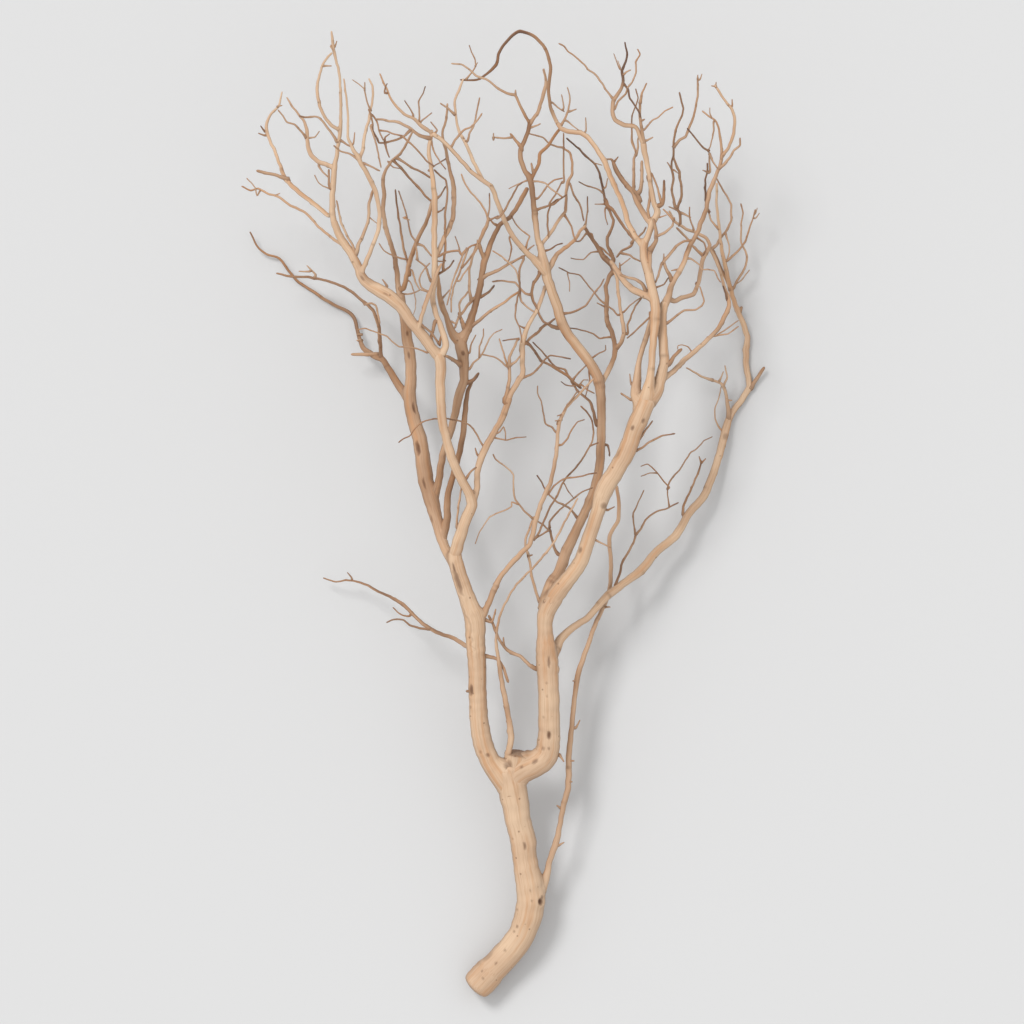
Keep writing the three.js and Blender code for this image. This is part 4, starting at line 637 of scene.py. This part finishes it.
# How each size of rod is skinned. Steps, kinks and the gap between nodes are in millimetres.
# Lumps, flutes and nodes are shares of the radius, and drift is how far the tone wanders.
rodLooks = {
    "stout": {"step": 1.2, "sides": 60, "lumps": 0.035, "flutes": 0.025, "kinks": 0.35, "ease": 1.0,
              "nodeGap": 1000, "nodes": 0.0, "drift": 0.12},
    "middle": {"step": 1.4, "sides": 28, "lumps": 0.05, "flutes": 0.05, "kinks": 0.35, "ease": 0.9,
               "nodeGap": 34, "nodes": 0.12, "drift": 0.17},
    "slender": {"step": 1.6, "sides": 14, "lumps": 0.11, "flutes": 0.04, "kinks": 0.45, "ease": 0.7,
                "nodeGap": 24, "nodes": 0.28, "drift": 0.24},
    "twig": {"step": 1.8, "sides": 8, "lumps": 0.13, "flutes": 0.0, "kinks": 0.35, "ease": 0.45,
             "nodeGap": 17, "nodes": 0.45, "drift": 0.24},
}
stoutFrom, middleFrom = 6, 3.3  # a limb this thick somewhere, in mm of radius, is skinned as that size

# The sawn butt: its worn edge, close rings round the pith and a few drying checks, greyed like the rest
sawnEnd = {
    "wornLength": 9,  # mm
    "wornDepth": 6.5,
    "early": "#C9AB88",
    "late": "#94714F",
    "check": "#4B3424",
    "ringWidth": 1.6,  # mm; real rings are near 0.8 mm, drawn coarser so that they show
}

# Where each wood sits between bleached (0) and dark wood kept from the sun (1)
slotTones = {"wood_pale": 0.08, "wood_warm": 0.32, "wood_amber": 0.46, "wood_brown": 0.68}
twigTones = {"pale": 0.2, "warm": 0.42, "brown": 0.64, "grey": 0.74, "dark": 0.9}


# Nearest row of any rod to a place seen from above, and how far outside it the place is
def rodUnder(place):
    best, found = 1e9, None
    for rod in rods:
        apart = np.linalg.norm(rod.rows[:, :2] - place, axis=1) - rod.rows[:, 3]
        i = int(apart.argmin())
        if apart[i] < best:
            best, found = apart[i], rod.rows[i]
    return found, best


endReach = 1.9  # a limb carries on from another's end when it starts within this many of its radii


# Rows that carry a limb's base back inside the limb it grows from
def rootRows(rows, parentRows):
    apart = np.linalg.norm(parentRows[:, :3] - rows[0, :3], axis=1)
    tip = parentRows[-1]
    if apart[-1] < tip[3] * endReach:  # it carries on, so it starts along the parent's own line
        back = np.linalg.norm(parentRows[:, :3] - tip[:3], axis=1)
        inside = [parentRows[np.abs(back - tip[3] * share).argmin()] for share in (1.8, 0.7)]
        spare = max(tip[3] - rows[0, 3], 0)
        rows[0, 3] += 0.5 * spare
        rows[1, 3] += 0.22 * spare
        thick = (min(rows[0, 3] * 1.3, inside[0][3] * 0.98), min(rows[0, 3] * 1.15, inside[1][3] * 0.97))
        return np.array([[*row[:3], radius] for row, radius in zip(inside, thick)])
    heading = rows[0, :3] - rows[1, :3]
    heading /= np.linalg.norm(heading)
    line = rows[0, :3] + heading * np.linspace(0, parentRows[:, 3].max() * 2.2, 24)[:, None]
    depth = np.array([np.linalg.norm(parentRows[:, :3] - p, axis=1).min() for p in line])
    i = max(int(depth.argmin()), 4)
    nearest = parentRows[np.linalg.norm(parentRows[:, :3] - line[i], axis=1).argmin()]
    pull = 0.6 if rows[0, 3] > 0.55 * nearest[3] else 0.25
    return np.array([[*(line[i] * (1 - pull) + nearest[:3] * pull), min(rows[0, 3], nearest[3] * 0.85)]])


# The limb that each limb grows from: the nearest one, and best of all one that comes before it
def findParents(raw, dense, order):
    parents = {}
    for i, name in enumerate(order[1:], 1):
        base = raw[name][0][0, :3]
        gaps = {}
        for other in order:
            if other == name:
                continue
            gaps[other] = distanceTo(dense[other], base[None])[0] + (0 if other in order[:i] else 4)
            if np.linalg.norm(dense[other][-1, :3] - base) < dense[other][-1, 3] * endReach:
                gaps[other] -= 1.5  # limbs grow from the end of another more often than from its side
        parents[name] = min(gaps, key=gaps.get)
    return parents


# Blends a limb into its parent and into the limbs that leave the parent beside it
def joinLimb(child, parents, made, start):
    rod, parent = made[child], made[parents[child]]
    tip = parent.rows[-1]
    carriesOn = np.linalg.norm(start - tip[:3]) < tip[3] * endReach
    reach = (0.9 * tip[3] if carriesOn else 1.3 * rod.rows[:4, 3].mean()) + 1.5
    # how dark the painted crotch shade is, weaker where a limb carries on from another's end
    crotchShade = 0.3 if carriesOn else 0.85
    rod.meet(parent, reach, crotchShade)
    parent.meet(rod, reach, crotchShade)
    for other, others in parents.items():
        base = np.linalg.norm(made[other].rows[0, :3] - rod.rows[0, :3])
        if other != child and others == parents[child] and base < tip[3] * 3:
            rod.meet(made[other], reach * 0.8)
    # a limb takes its parent's tone where it leaves it
    fade = np.exp(-rod.sAll / (6 * rod.rows[0, 3] + 8))
    rod.tone += (parent.look["tone"] - rod.look["tone"]) * fade


def makeLimbs():
    slots = {part["node"]: part["material_slot"] for part in frame["record"]["subparts"]}
    raw = {name: readLimb(name) for name in frame["nodes"]}
    raw["pale_diagonal"] = (paleDiagonal + [*corner, 0], 2.0)
    dense = {name: smoothRows(rows, 3) for name, (rows, _) in raw.items()}
    parents = findParents(raw, dense, list(slots))
    made = {}
    for name, (rows, end) in raw.items():
        thickest = rows[:, 3].max()
        size = "stout" if thickest >= stoutFrom else "middle" if thickest >= middleFrom else "slender"
        if name in parents:
            rows = np.vstack([rootRows(rows, dense[parents[name]]), rows])
        look = {**rodLooks[size], "tone": slotTones[slots[name]], "sawn": name == "butt_stem"}
        made[name] = Rod(name, rows, end, look)
        made[name].slot = slots[name]
    for child in parents:
        joinLimb(child, parents, made, raw[child][0][0, :3])
    stub = makeDeadStub(made["butt_stem"])
    for name in ("butt_stem", "left_limb", "right_limb"):
        made[name].meet(stub, deadStub["blend"])
        stub.meet(made[name], deadStub["blend"])
    for name, (start, end, tone) in darkRuns.items():
        share = made[name].sAll / made[name].sAll.max()
        made[name].tone += (tone - made[name].tone) * np.clip((share - start) / 0.08, 0, 1) * (share <= end)
    for name, places in marks.items():
        for place in places:
            made[name].mark(*place)
    # painted shade in the gap between the stub and the left limb
    for rod in (stub, made["left_limb"]):
        rod.mark(*deadStub["shadedNotch"])
    return made, stub


# The dead stub in the main fork, snapped off short. A row of its line is x, y, height above the stem's end
# and radius. The mark at the stub's foot paints shade into the gap between it and the left limb, with a
# shallow groove, given as the marks below are.
deadStub = {
    "line": [(266, 206, -7, 9), (273, 229, -1, 10.5), (275.5, 245.5, 4.5, 12)],
    "snap": 1.2,  # mm
    "blend": 9,
    "shadedNotch": (267, 232, 8, 15, 0.3, 0.6),
}

# Knots, holes, scars and knobs: x, y, width, length, depth (less than 0 stands proud) and darkness
marks = {
    "butt_stem": [
        (299.5, 96.8, 5, 8, 2.2, 0.95), (301, 101, 3, 5, 0.8, 0.6), (283.5, 153, 3.5, 9, 0.5, 0.6),
        (241.5, 20, 2.6, 3, 0.3, 0.5), (254.5, 35, 2.8, 4, 0.4, 0.55), (240.5, 27, 2.5, 3, 0.3, 0.5),
        (263.5, 48, 2.4, 3.5, 0.3, 0.5), (275.5, 72, 2.6, 4, 0.4, 0.55), (272.5, 67, 2.4, 3, 0.3, 0.5),
        (275.5, 89, 2.2, 3, 0.2, 0.4), (290.5, 98, 2.4, 3, 0.2, 0.45), (288.5, 108, 2.2, 3, 0.2, 0.4),
        (266, 131, 2.2, 3, 0.2, 0.35), (271, 160, 2, 2.6, 0.2, 0.3), (246, 42, 6, 14, 0.4, 0.25),
        (249, 54, 14, 64, 0.2, 0.26)],
    "right_limb": [
        (307.5, 263.8, 4.5, 9, 1.2, 0.85), (307.5, 250.5, 3, 4, 0.4, 0.5), (301.5, 250.5, 4.4, 4.4, 0.4, 0.4),
        (307.5, 337, 2.8, 13, 0.7, 0.65), (305, 316, 2.6, 3, 0.3, 0.4), (305.5, 303, 2.4, 3, 0.2, 0.35),
        (302, 282, 2.4, 3, 0.2, 0.35), (293.5, 237.5, 4, 8, 0.8, 0.6), (280, 232, 3, 4, 0.3, 0.55),
        (310.5, 398.8, 4, 7, 0.7, 0.7), (302.5, 398, 3, 5, 0.5, 0.65), (318.5, 329, 6, 9, -1.3, 0.15)],
    # its mark at 268, 231 is painted shade in the gap beside the dead stub
    "left_limb": [
        (229.5, 309, 4.5, 12, 0.9, 0.75), (216.5, 417, 5.5, 30, 1.6, 0.62), (212.5, 431, 2.4, 12, 0.4, 0.7),
        (229.5, 370, 2.6, 62, 0.25, 0.22), (246.5, 244, 4, 5, 0.4, 0.6), (239, 247, 3, 4, 0.3, 0.35),
        (268, 231, 5, 11, 0.8, 0.6), (229, 292, 2.2, 4, 0.2, 0.4), (222, 325, 2, 3, 0.2, 0.3)],
    "outer_left_limb": [
        (172.5, 590.8, 3.2, 13, 0.7, 0.7), (176.5, 550.8, 5, 16, 1, 0.8), (182.5, 515.8, 2.6, 13, 0.5, 0.65),
        (167.5, 643.8, 3, 8, 0.4, 0.6), (165.5, 665.8, 2.8, 6, -0.8, 0.65), (190, 480, 2.4, 9, 0.3, 0.45)],
    "right_upper_limb": [
        (390.5, 570.8, 4, 6, 0.6, 0.65), (401.5, 577.8, 3.6, 6, 0.6, 0.6), (361.5, 493.8, 6, 7, -1.2, 0.5),
        (352, 520, 2.6, 10, 0.3, 0.4), (376, 545, 2.6, 14, 0.3, 0.35), (338.5, 448.8, 4, 7, 0.5, 0.55)],
    "pale_left_arm": [
        (124, 722, 12, 30, 0.4, 0.26), (121.5, 719.8, 3.2, 8, 0.5, 0.6), (145, 704, 2.4, 7, 0.3, 0.4)],
    "pale_left_limb": [(238.5, 505.8, 5, 6, -1.2, 0.3), (222, 560, 2.6, 10, 0.3, 0.35)],
    "outer_right_limb": [(484.5, 562.8, 5, 7, -1.2, 0.45), (410, 430, 2.4, 9, 0.3, 0.35)],
    "dark_left_branch": [(221.5, 645.8, 4, 6, -1, 0.7), (218, 560, 2.4, 12, 0.3, 0.5)],
    "centre_trunk": [(322, 662, 2.4, 9, 0.3, 0.4), (348, 625, 2.8, 5, -0.6, 0.35)],
}


# Runs of a limb that dried dark, as shares of its length, and their tone
darkRuns = {"arch": (0.5, 1.0, 1.25), "right_hook": (0.6, 1.0, 0.95), "left_low_wand": (0.85, 1.0, 0.6)}


def makeDeadStub(stem):
    top = stem.rows[-1]
    rows = [[x + corner[0], y + corner[1], top[2] + rise, radius] for x, y, rise, radius in deadStub["line"]]
    look = {**rodLooks["stout"], "tone": 0.14, "flutes": 0.08, "lumps": 0.07}
    stub = Rod("dead_stub", np.array(rows), deadStub["snap"], look)
    stub.shade[-5:] = 0.45  # its broken end is dark
    stub.shade[-6] = 0.25
    return stub


twigFullness = 0.9  # how much of the radius given above a twig is drawn with
rootReach = 9  # mm; a twig that starts nearer than this to a limb is drawn on into it


def makeTwig(index, tone, base, tip, climb, seen):
    line = np.array(seen, float) + corner[:2]
    run = np.concatenate([[0], np.cumsum(np.linalg.norm(np.diff(line, axis=0), axis=1))])
    share = run / run[-1]
    root, gap = rodUnder(line[0])
    rise = (rodUnder(line[-1])[0][2] - root[2]) if climb is None else climb
    radius = (base + (tip - base) * share) * twigFullness
    level = np.maximum(root[2] + rise * share, radius + 1)
    rows = np.column_stack([line, level, radius])
    if gap < rootReach and np.linalg.norm(root[:2] - line[0]) > root[3] * 0.5:
        rows = np.vstack([[*root[:3], base * 1.1], rows])
    rod = Rod(f"{tone}{index}", rows, tip * 1.8, {**rodLooks["twig"], "tone": twigTones[tone]})
    foot = np.exp(-np.maximum(rod.sAll - root[3], 0) / (2.2 * base))
    rod.points += rod.out * (foot * 0.4 * base)[:, :, None]  # a small collar at its foot
    # painted shade where the twig meets the rod it grows from
    rod.shade = np.maximum(rod.shade, 0.35 * foot)
    rod.tone += (0.35 - rod.tone) * np.exp(-rod.sAll / 12) * 0.5  # paler towards its foot
    rod.tone += 0.22 * np.clip(rod.sAll / rod.sAll.max() - 0.75, 0, 1) / 0.25  # and darker at its tip
    return rod


# Every twig, each made once the limb or twig that it grows from is there
def makeTwigs():
    waiting = [(tone, i, twig) for tone, group in twigs.items() for i, twig in enumerate(group)]
    made = {tone: [] for tone in twigs}
    reach = 2.0
    while waiting:
        later = []
        for tone, i, twig in waiting:
            if rodUnder(np.array(twig[3][0]) + corner[:2])[1] > reach:
                later.append((tone, i, twig))
                continue
            rod = makeTwig(i, tone, *twig)
            made[tone].append(rod)
            rods.append(rod)
        if len(later) == len(waiting):
            reach += 2.0
        waiting = later
    return made


# Rods joined into one mesh, with the straightened wood coordinates, shade and tone at each corner
def skin(name, parts, slot):
    corners, faces, grain, shade, tone = [], [], [], [], []
    count = 0
    for number, rod in enumerate(parts):
        rings, sides = rod.shade.shape
        first = rod.points[0].mean(axis=0)
        rod.points[:, :, 2] = np.maximum(rod.points[:, :, 2], 0.05)  # nothing dips into the floor
        corners += [rod.points.reshape(-1, 3), rod.tip[None], first[None]]
        ring = np.arange(rings - 1)[:, None] * sides
        across = np.arange(sides)
        turn = (across + 1) % sides
        quads = np.stack([ring + across, ring + turn, ring + sides + turn, ring + sides + across], -1)
        faces += (quads.reshape(-1, 4) + count).tolist()
        top, bottom = count + rings * sides, count + rings * sides + 1
        lastRing = count + (rings - 1) * sides
        faces += [(lastRing + int(i), lastRing + int(j), top) for i, j in zip(across, turn)]
        faces += [(count + int(j), count + int(i), bottom) for i, j in zip(across, turn)]
        apart = 370.0 * number + 97.0 * len(bpy.data.meshes)  # so that no two rods share a pattern
        straight = (rod.radius * np.cos(rod.angle), rod.radius * np.sin(rod.angle), rod.sAll + apart)
        straight = np.stack(straight, -1)
        grain += [straight.reshape(-1, 3), straight[-1].mean(0)[None], straight[0].mean(0)[None]]
        shade += [rod.shade.ravel(), rod.shade[-1, :1], rod.shade[0, :1]]
        tone += [rod.tone.ravel(), rod.tone[-1, :1], rod.tone[0, :1]]
        count += rings * sides + 2
    mesh = bpy.data.meshes.new(name)
    mesh.from_pydata((np.vstack(corners) * metre).tolist(), [], faces)
    for label, values in (("grain", grain), ("shade", shade), ("tone", tone)):
        kind, field = ("FLOAT_VECTOR", "vector") if label == "grain" else ("FLOAT", "value")
        layer = mesh.attributes.new(label, kind, "POINT")
        layer.data.foreach_set(field, np.concatenate(values).astype(np.float32).ravel())
    mesh.shade_smooth()
    piece = bpy.data.objects.new(name, mesh)
    bpy.context.scene.collection.objects.link(piece)
    mesh.materials.append(woods[slot])
    if parts[0].look.get("sawn"):
        mesh.materials.append(endGrain)
        sides = parts[0].look["sides"]
        facesBefore = len(parts[0].shade) * sides  # the sides and the tip come first
        for face in mesh.polygons[facesBefore:facesBefore + sides]:
            face.material_index = 1
    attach(piece, "root")
    return piece


def linear(hexCode):
    values = [int(hexCode[i:i + 2], 16) / 255 for i in (1, 3, 5)]
    return [v / 12.92 if v <= 0.04045 else ((v + 0.055) / 1.055) ** 2.4 for v in values] + [1.0]


# Adds a node with its settings and the links into it
def addNode(tree, kind, settings={}, inputs={}, links={}):
    node = tree.nodes.new(kind)
    for key, value in settings.items():
        setattr(node, key, value)
    for key, value in inputs.items():
        node.inputs[key].default_value = value
    for key, source in links.items():
        tree.links.new(source, node.inputs[key])
    return node


# Barkless manzanita wood, dried in the sun and smoothed by blown sand: satin to the eye, with long soft
# streaks along each limb; painted shade darkens and greys its sides and underside, which also stands for
# weathered grey wood
wood = {
    "ramp": {0.0: "#DABB9C", 0.33: "#C7A486", 0.62: "#A98466", 1.0: "#6F5342"},  # bleached to dark wood kept from the sun
    "streak": "#C48A58",  # iron-brown streaks in the pale wood
    "fibre": "#C2A88E",
    "sideShadeAndWeather": "#7E6858",  # painted shade and weathered grey on the sides and underside
    "speck": "#6A4630",
    "crotch": "#55301A",  # painted shade in the forks, joints and holes, and the dark of knots, scars, nodes and the broken stub end
    "speckSpacing": 13.0,  # mm
}
# Width across the grain and length along it, in mm, and detail
grainPatterns = {
    "streaks": (5.0, 110.0, 3.0),
    "fibres": (1.3, 70.0, 2.0),  # real fibres are near 0.2 mm wide, drawn coarser so that they show
    "blotches": (38.0, 60.8, 2.0),
}
slotLooks = {
    "wood_pale": {"name": "bleached manzanita, sand-blasted", "streak": 0.5, "roughness": 0.62},
    "wood_warm": {"name": "warm manzanita, sand-blasted", "streak": 0.5, "roughness": 0.6},
    "wood_amber": {"name": "amber manzanita, weathered", "streak": 0.45, "roughness": 0.64},
    "wood_brown": {"name": "brown manzanita twig, weathered", "streak": 0.4, "roughness": 0.68},
}


def makeWood(slot):
    look = slotLooks[slot]
    material = bpy.data.materials.new(look["name"])
    material.use_nodes = True
    tree = material.node_tree
    shader = tree.nodes["Principled BSDF"]
    grain = addNode(tree, "ShaderNodeAttribute", {"attribute_name": "grain"}).outputs["Vector"]
    shade = addNode(tree, "ShaderNodeAttribute", {"attribute_name": "shade"}).outputs["Fac"]
    tone = addNode(tree, "ShaderNodeAttribute", {"attribute_name": "tone"}).outputs["Fac"]
    normal = addNode(tree, "ShaderNodeNewGeometry").outputs["Normal"]
    upward = addNode(tree, "ShaderNodeSeparateXYZ", {}, {}, {"Vector": normal}).outputs["Z"]
    cells = addNode(tree, "ShaderNodeTexVoronoi", {}, {"Scale": 1 / wood["speckSpacing"]}, {"Vector": grain})
    noise = {}
    for label, (width, length, detail) in grainPatterns.items():
        stretch = {1: (1 / width, 1 / width, 1 / length)}
        spread = addNode(tree, "ShaderNodeVectorMath", {"operation": "MULTIPLY"}, stretch, {0: grain})
        noise[label] = addNode(tree, "ShaderNodeTexNoise", {}, {"Scale": 1.0, "Detail": detail},
                               {"Vector": spread.outputs[0]}).outputs["Fac"]
    # What each amount follows, the two values it runs between there, and what it runs between itself
    ranges = {
        "blotch": (noise["blotches"], 0.3, 0.7, -0.1, 0.14),
        "streak": (noise["streaks"], 0.5, 0.68, 0.0, look["streak"]),
        "fibre": (noise["fibres"], 0.45, 0.75, 0.0, 0.35),
        # painted shade: the further a face turns from straight up, the darker and greyer it is, with
        # weathered grey
        "sideShadeAndWeather": (upward, 0.62, -0.1, 0.0, 0.8),
        "speck": (cells.outputs["Distance"], 0.1, 0.06, 0.0, 0.55),
        "rough": (noise["fibres"], 0.3, 0.7, look["roughness"] - 0.07, look["roughness"] + 0.08),
    }
    # the shade attribute mixes in the crotch colour: painted shade in forks, joints and holes, with the dark
    # of knots and nodes
    amount = {"crotch": shade}
    for label, (source, *limits) in ranges.items():
        settings = dict(zip(("From Min", "From Max", "To Min", "To Max"), limits))
        spread = addNode(tree, "ShaderNodeMapRange", {}, settings, {"Value": source})
        amount[label] = spread.outputs["Result"]
    toneNow = addNode(tree, "ShaderNodeMath", {"operation": "ADD"}, {}, {0: tone, 1: amount["blotch"]})
    ramp = addNode(tree, "ShaderNodeValToRGB", {}, {}, {"Fac": toneNow.outputs[0]})
    for i, (place, hexCode) in enumerate(wood["ramp"].items()):
        element = ramp.color_ramp.elements[i] if i < 2 else ramp.color_ramp.elements.new(place)
        element.position = place
        element.color = linear(hexCode)
    colour = ramp.outputs["Color"]
    for label in ("streak", "fibre", "sideShadeAndWeather", "speck", "crotch"):
        settings = {"data_type": "RGBA", "blend_type": "MULTIPLY" if label == "fibre" else "MIX"}
        mixed = addNode(tree, "ShaderNodeMix", settings, {"B": linear(wood[label])},
                        {"Factor": amount[label], "A": colour})
        colour = mixed.outputs["Result"]
    tree.links.new(colour, shader.inputs["Base Color"])
    tree.links.new(amount["rough"], shader.inputs["Roughness"])
    height = addNode(tree, "ShaderNodeMath", {"operation": "MULTIPLY_ADD"}, {1: 0.5},
                     {0: noise["fibres"], 2: noise["streaks"]})
    bump = addNode(tree, "ShaderNodeBump", {}, {"Strength": 0.5, "Distance": 0.0002},
                   {"Height": height.outputs[0]})
    tree.links.new(bump.outputs["Normal"], shader.inputs["Normal"])
    shader.inputs["IOR"].default_value = 1.5
    shader.inputs["Specular IOR Level"].default_value = 0.35
    return material


# The wood sawn across at the butt: dull and matt, with its rings showing
def makeEndGrain():
    material = bpy.data.materials.new("sawn manzanita end grain, weathered")
    material.use_nodes = True
    tree = material.node_tree
    shader = tree.nodes["Principled BSDF"]
    grain = addNode(tree, "ShaderNodeAttribute", {"attribute_name": "grain"}).outputs["Vector"]
    flat = addNode(tree, "ShaderNodeVectorMath", {"operation": "MULTIPLY"}, {1: (1, 1, 0)}, {0: grain})
    waviness = {"Distortion": 2.5, "Detail": 2.0, "Detail Scale": 0.6}
    rings = addNode(tree, "ShaderNodeTexWave", {"wave_type": "RINGS", "rings_direction": "Z"},
                    {"Scale": 0.314 / sawnEnd["ringWidth"], **waviness}, {"Vector": flat.outputs[0]})
    ringed = addNode(tree, "ShaderNodeMix", {"data_type": "RGBA"},
                     {"A": linear(sawnEnd["early"]), "B": linear(sawnEnd["late"])},
                     {"Factor": rings.outputs["Fac"]})
    heading = addNode(tree, "ShaderNodeVectorMath", {"operation": "NORMALIZE"}, {}, {0: flat.outputs[0]})
    checks = addNode(tree, "ShaderNodeTexNoise", {}, {"Scale": 4.0, "Detail": 1.0},
                     {"Vector": heading.outputs[0]})
    crack = addNode(tree, "ShaderNodeMapRange", {}, {"From Min": 0.66, "From Max": 0.7},
                    {"Value": checks.outputs["Fac"]})
    cracked = addNode(tree, "ShaderNodeMix", {"data_type": "RGBA"}, {"B": linear(sawnEnd["check"])},
                      {"Factor": crack.outputs["Result"], "A": ringed.outputs["Result"]})
    tree.links.new(cracked.outputs["Result"], shader.inputs["Base Color"])
    bump = addNode(tree, "ShaderNodeBump", {}, {"Strength": 0.4, "Distance": 0.0002},
                   {"Height": rings.outputs["Fac"]})
    tree.links.new(bump.outputs["Normal"], shader.inputs["Normal"])
    shader.inputs["Roughness"].default_value = 0.75
    shader.inputs["IOR"].default_value = 1.5
    return material


woods = {slot: makeWood(slot) for slot in slotLooks}
endGrain = makeEndGrain()
print("woods made")

rods = []
limbs, stub = makeLimbs()
rods += limbs.values()
print(len(limbs), "limbs shaped")
twigRods = makeTwigs()
print(sum(map(len, twigs.values())), "twigs shaped")

for name, rod in limbs.items():
    parts = [rod, stub] if name == "butt_stem" else [rod]
    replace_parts(skin("limb_" + name, parts, rod.slot), name)
twigSlots = {"pale": "wood_pale", "warm": "wood_warm"}  # the rest are brown wood
for tone, parts in twigRods.items():
    skin(tone + "_twigs", parts, twigSlots.get(tone, "wood_brown"))
print("wood skinned")

# A plain pale studio: even light from all round, and one broad soft sun from the upper left
studio = {
    "sky": 0.78,
    "sun": 1.45,
    "sunTurn": (math.radians(38), 0.0, math.radians(-140)),
    "sunWidth": math.radians(18),
    "floorWidth": 400.0,  # m
    "floorTone": 0.68,
    "cameraHeight": 24.0,  # m above the middle of the branch
    "middle": 0.07,
    "view": 1.024,  # m across
    "aim": (0.015, 0.003),
}


def makeStudio():
    half = studio["floorWidth"] / 2
    mesh = bpy.data.meshes.new("studio floor")
    places = [(-half, -half, 0), (half, -half, 0), (half, half, 0), (-half, half, 0)]
    mesh.from_pydata(places, [], [(0, 1, 2, 3)])
    floor = bpy.data.objects.new("studio floor", mesh)
    bpy.context.scene.collection.objects.link(floor)
    paint = bpy.data.materials.new("matt white studio paper")
    paint.use_nodes = True
    shader = paint.node_tree.nodes["Principled BSDF"]
    shader.inputs["Base Color"].default_value = [studio["floorTone"]] * 3 + [1.0]
    shader.inputs["Roughness"].default_value = 1.0
    shader.inputs["Specular IOR Level"].default_value = 0.0
    mesh.materials.append(paint)
    world = bpy.data.worlds.new("studio light")
    world.use_nodes = True
    world.node_tree.nodes["Background"].inputs["Color"].default_value = [studio["sky"]] * 3 + [1.0]
    bpy.context.scene.world = world
    sun = bpy.data.objects.new("soft key", bpy.data.lights.new("soft key", "SUN"))
    sun.data.energy, sun.data.angle = studio["sun"], studio["sunWidth"]
    sun.rotation_euler = studio["sunTurn"]
    bpy.context.scene.collection.objects.link(sun)
    camera = bpy.data.objects.new("camera above", bpy.data.cameras.new("camera above"))
    camera.data.lens = camera.data.sensor_width * studio["cameraHeight"] / studio["view"]
    camera.data.clip_end = 100
    camera.location = (*studio["aim"], studio["cameraHeight"] + studio["middle"])
    bpy.context.scene.collection.objects.link(camera)
    bpy.context.scene.camera = camera
    bpy.context.scene.view_settings.view_transform = "Standard"


makeStudio()
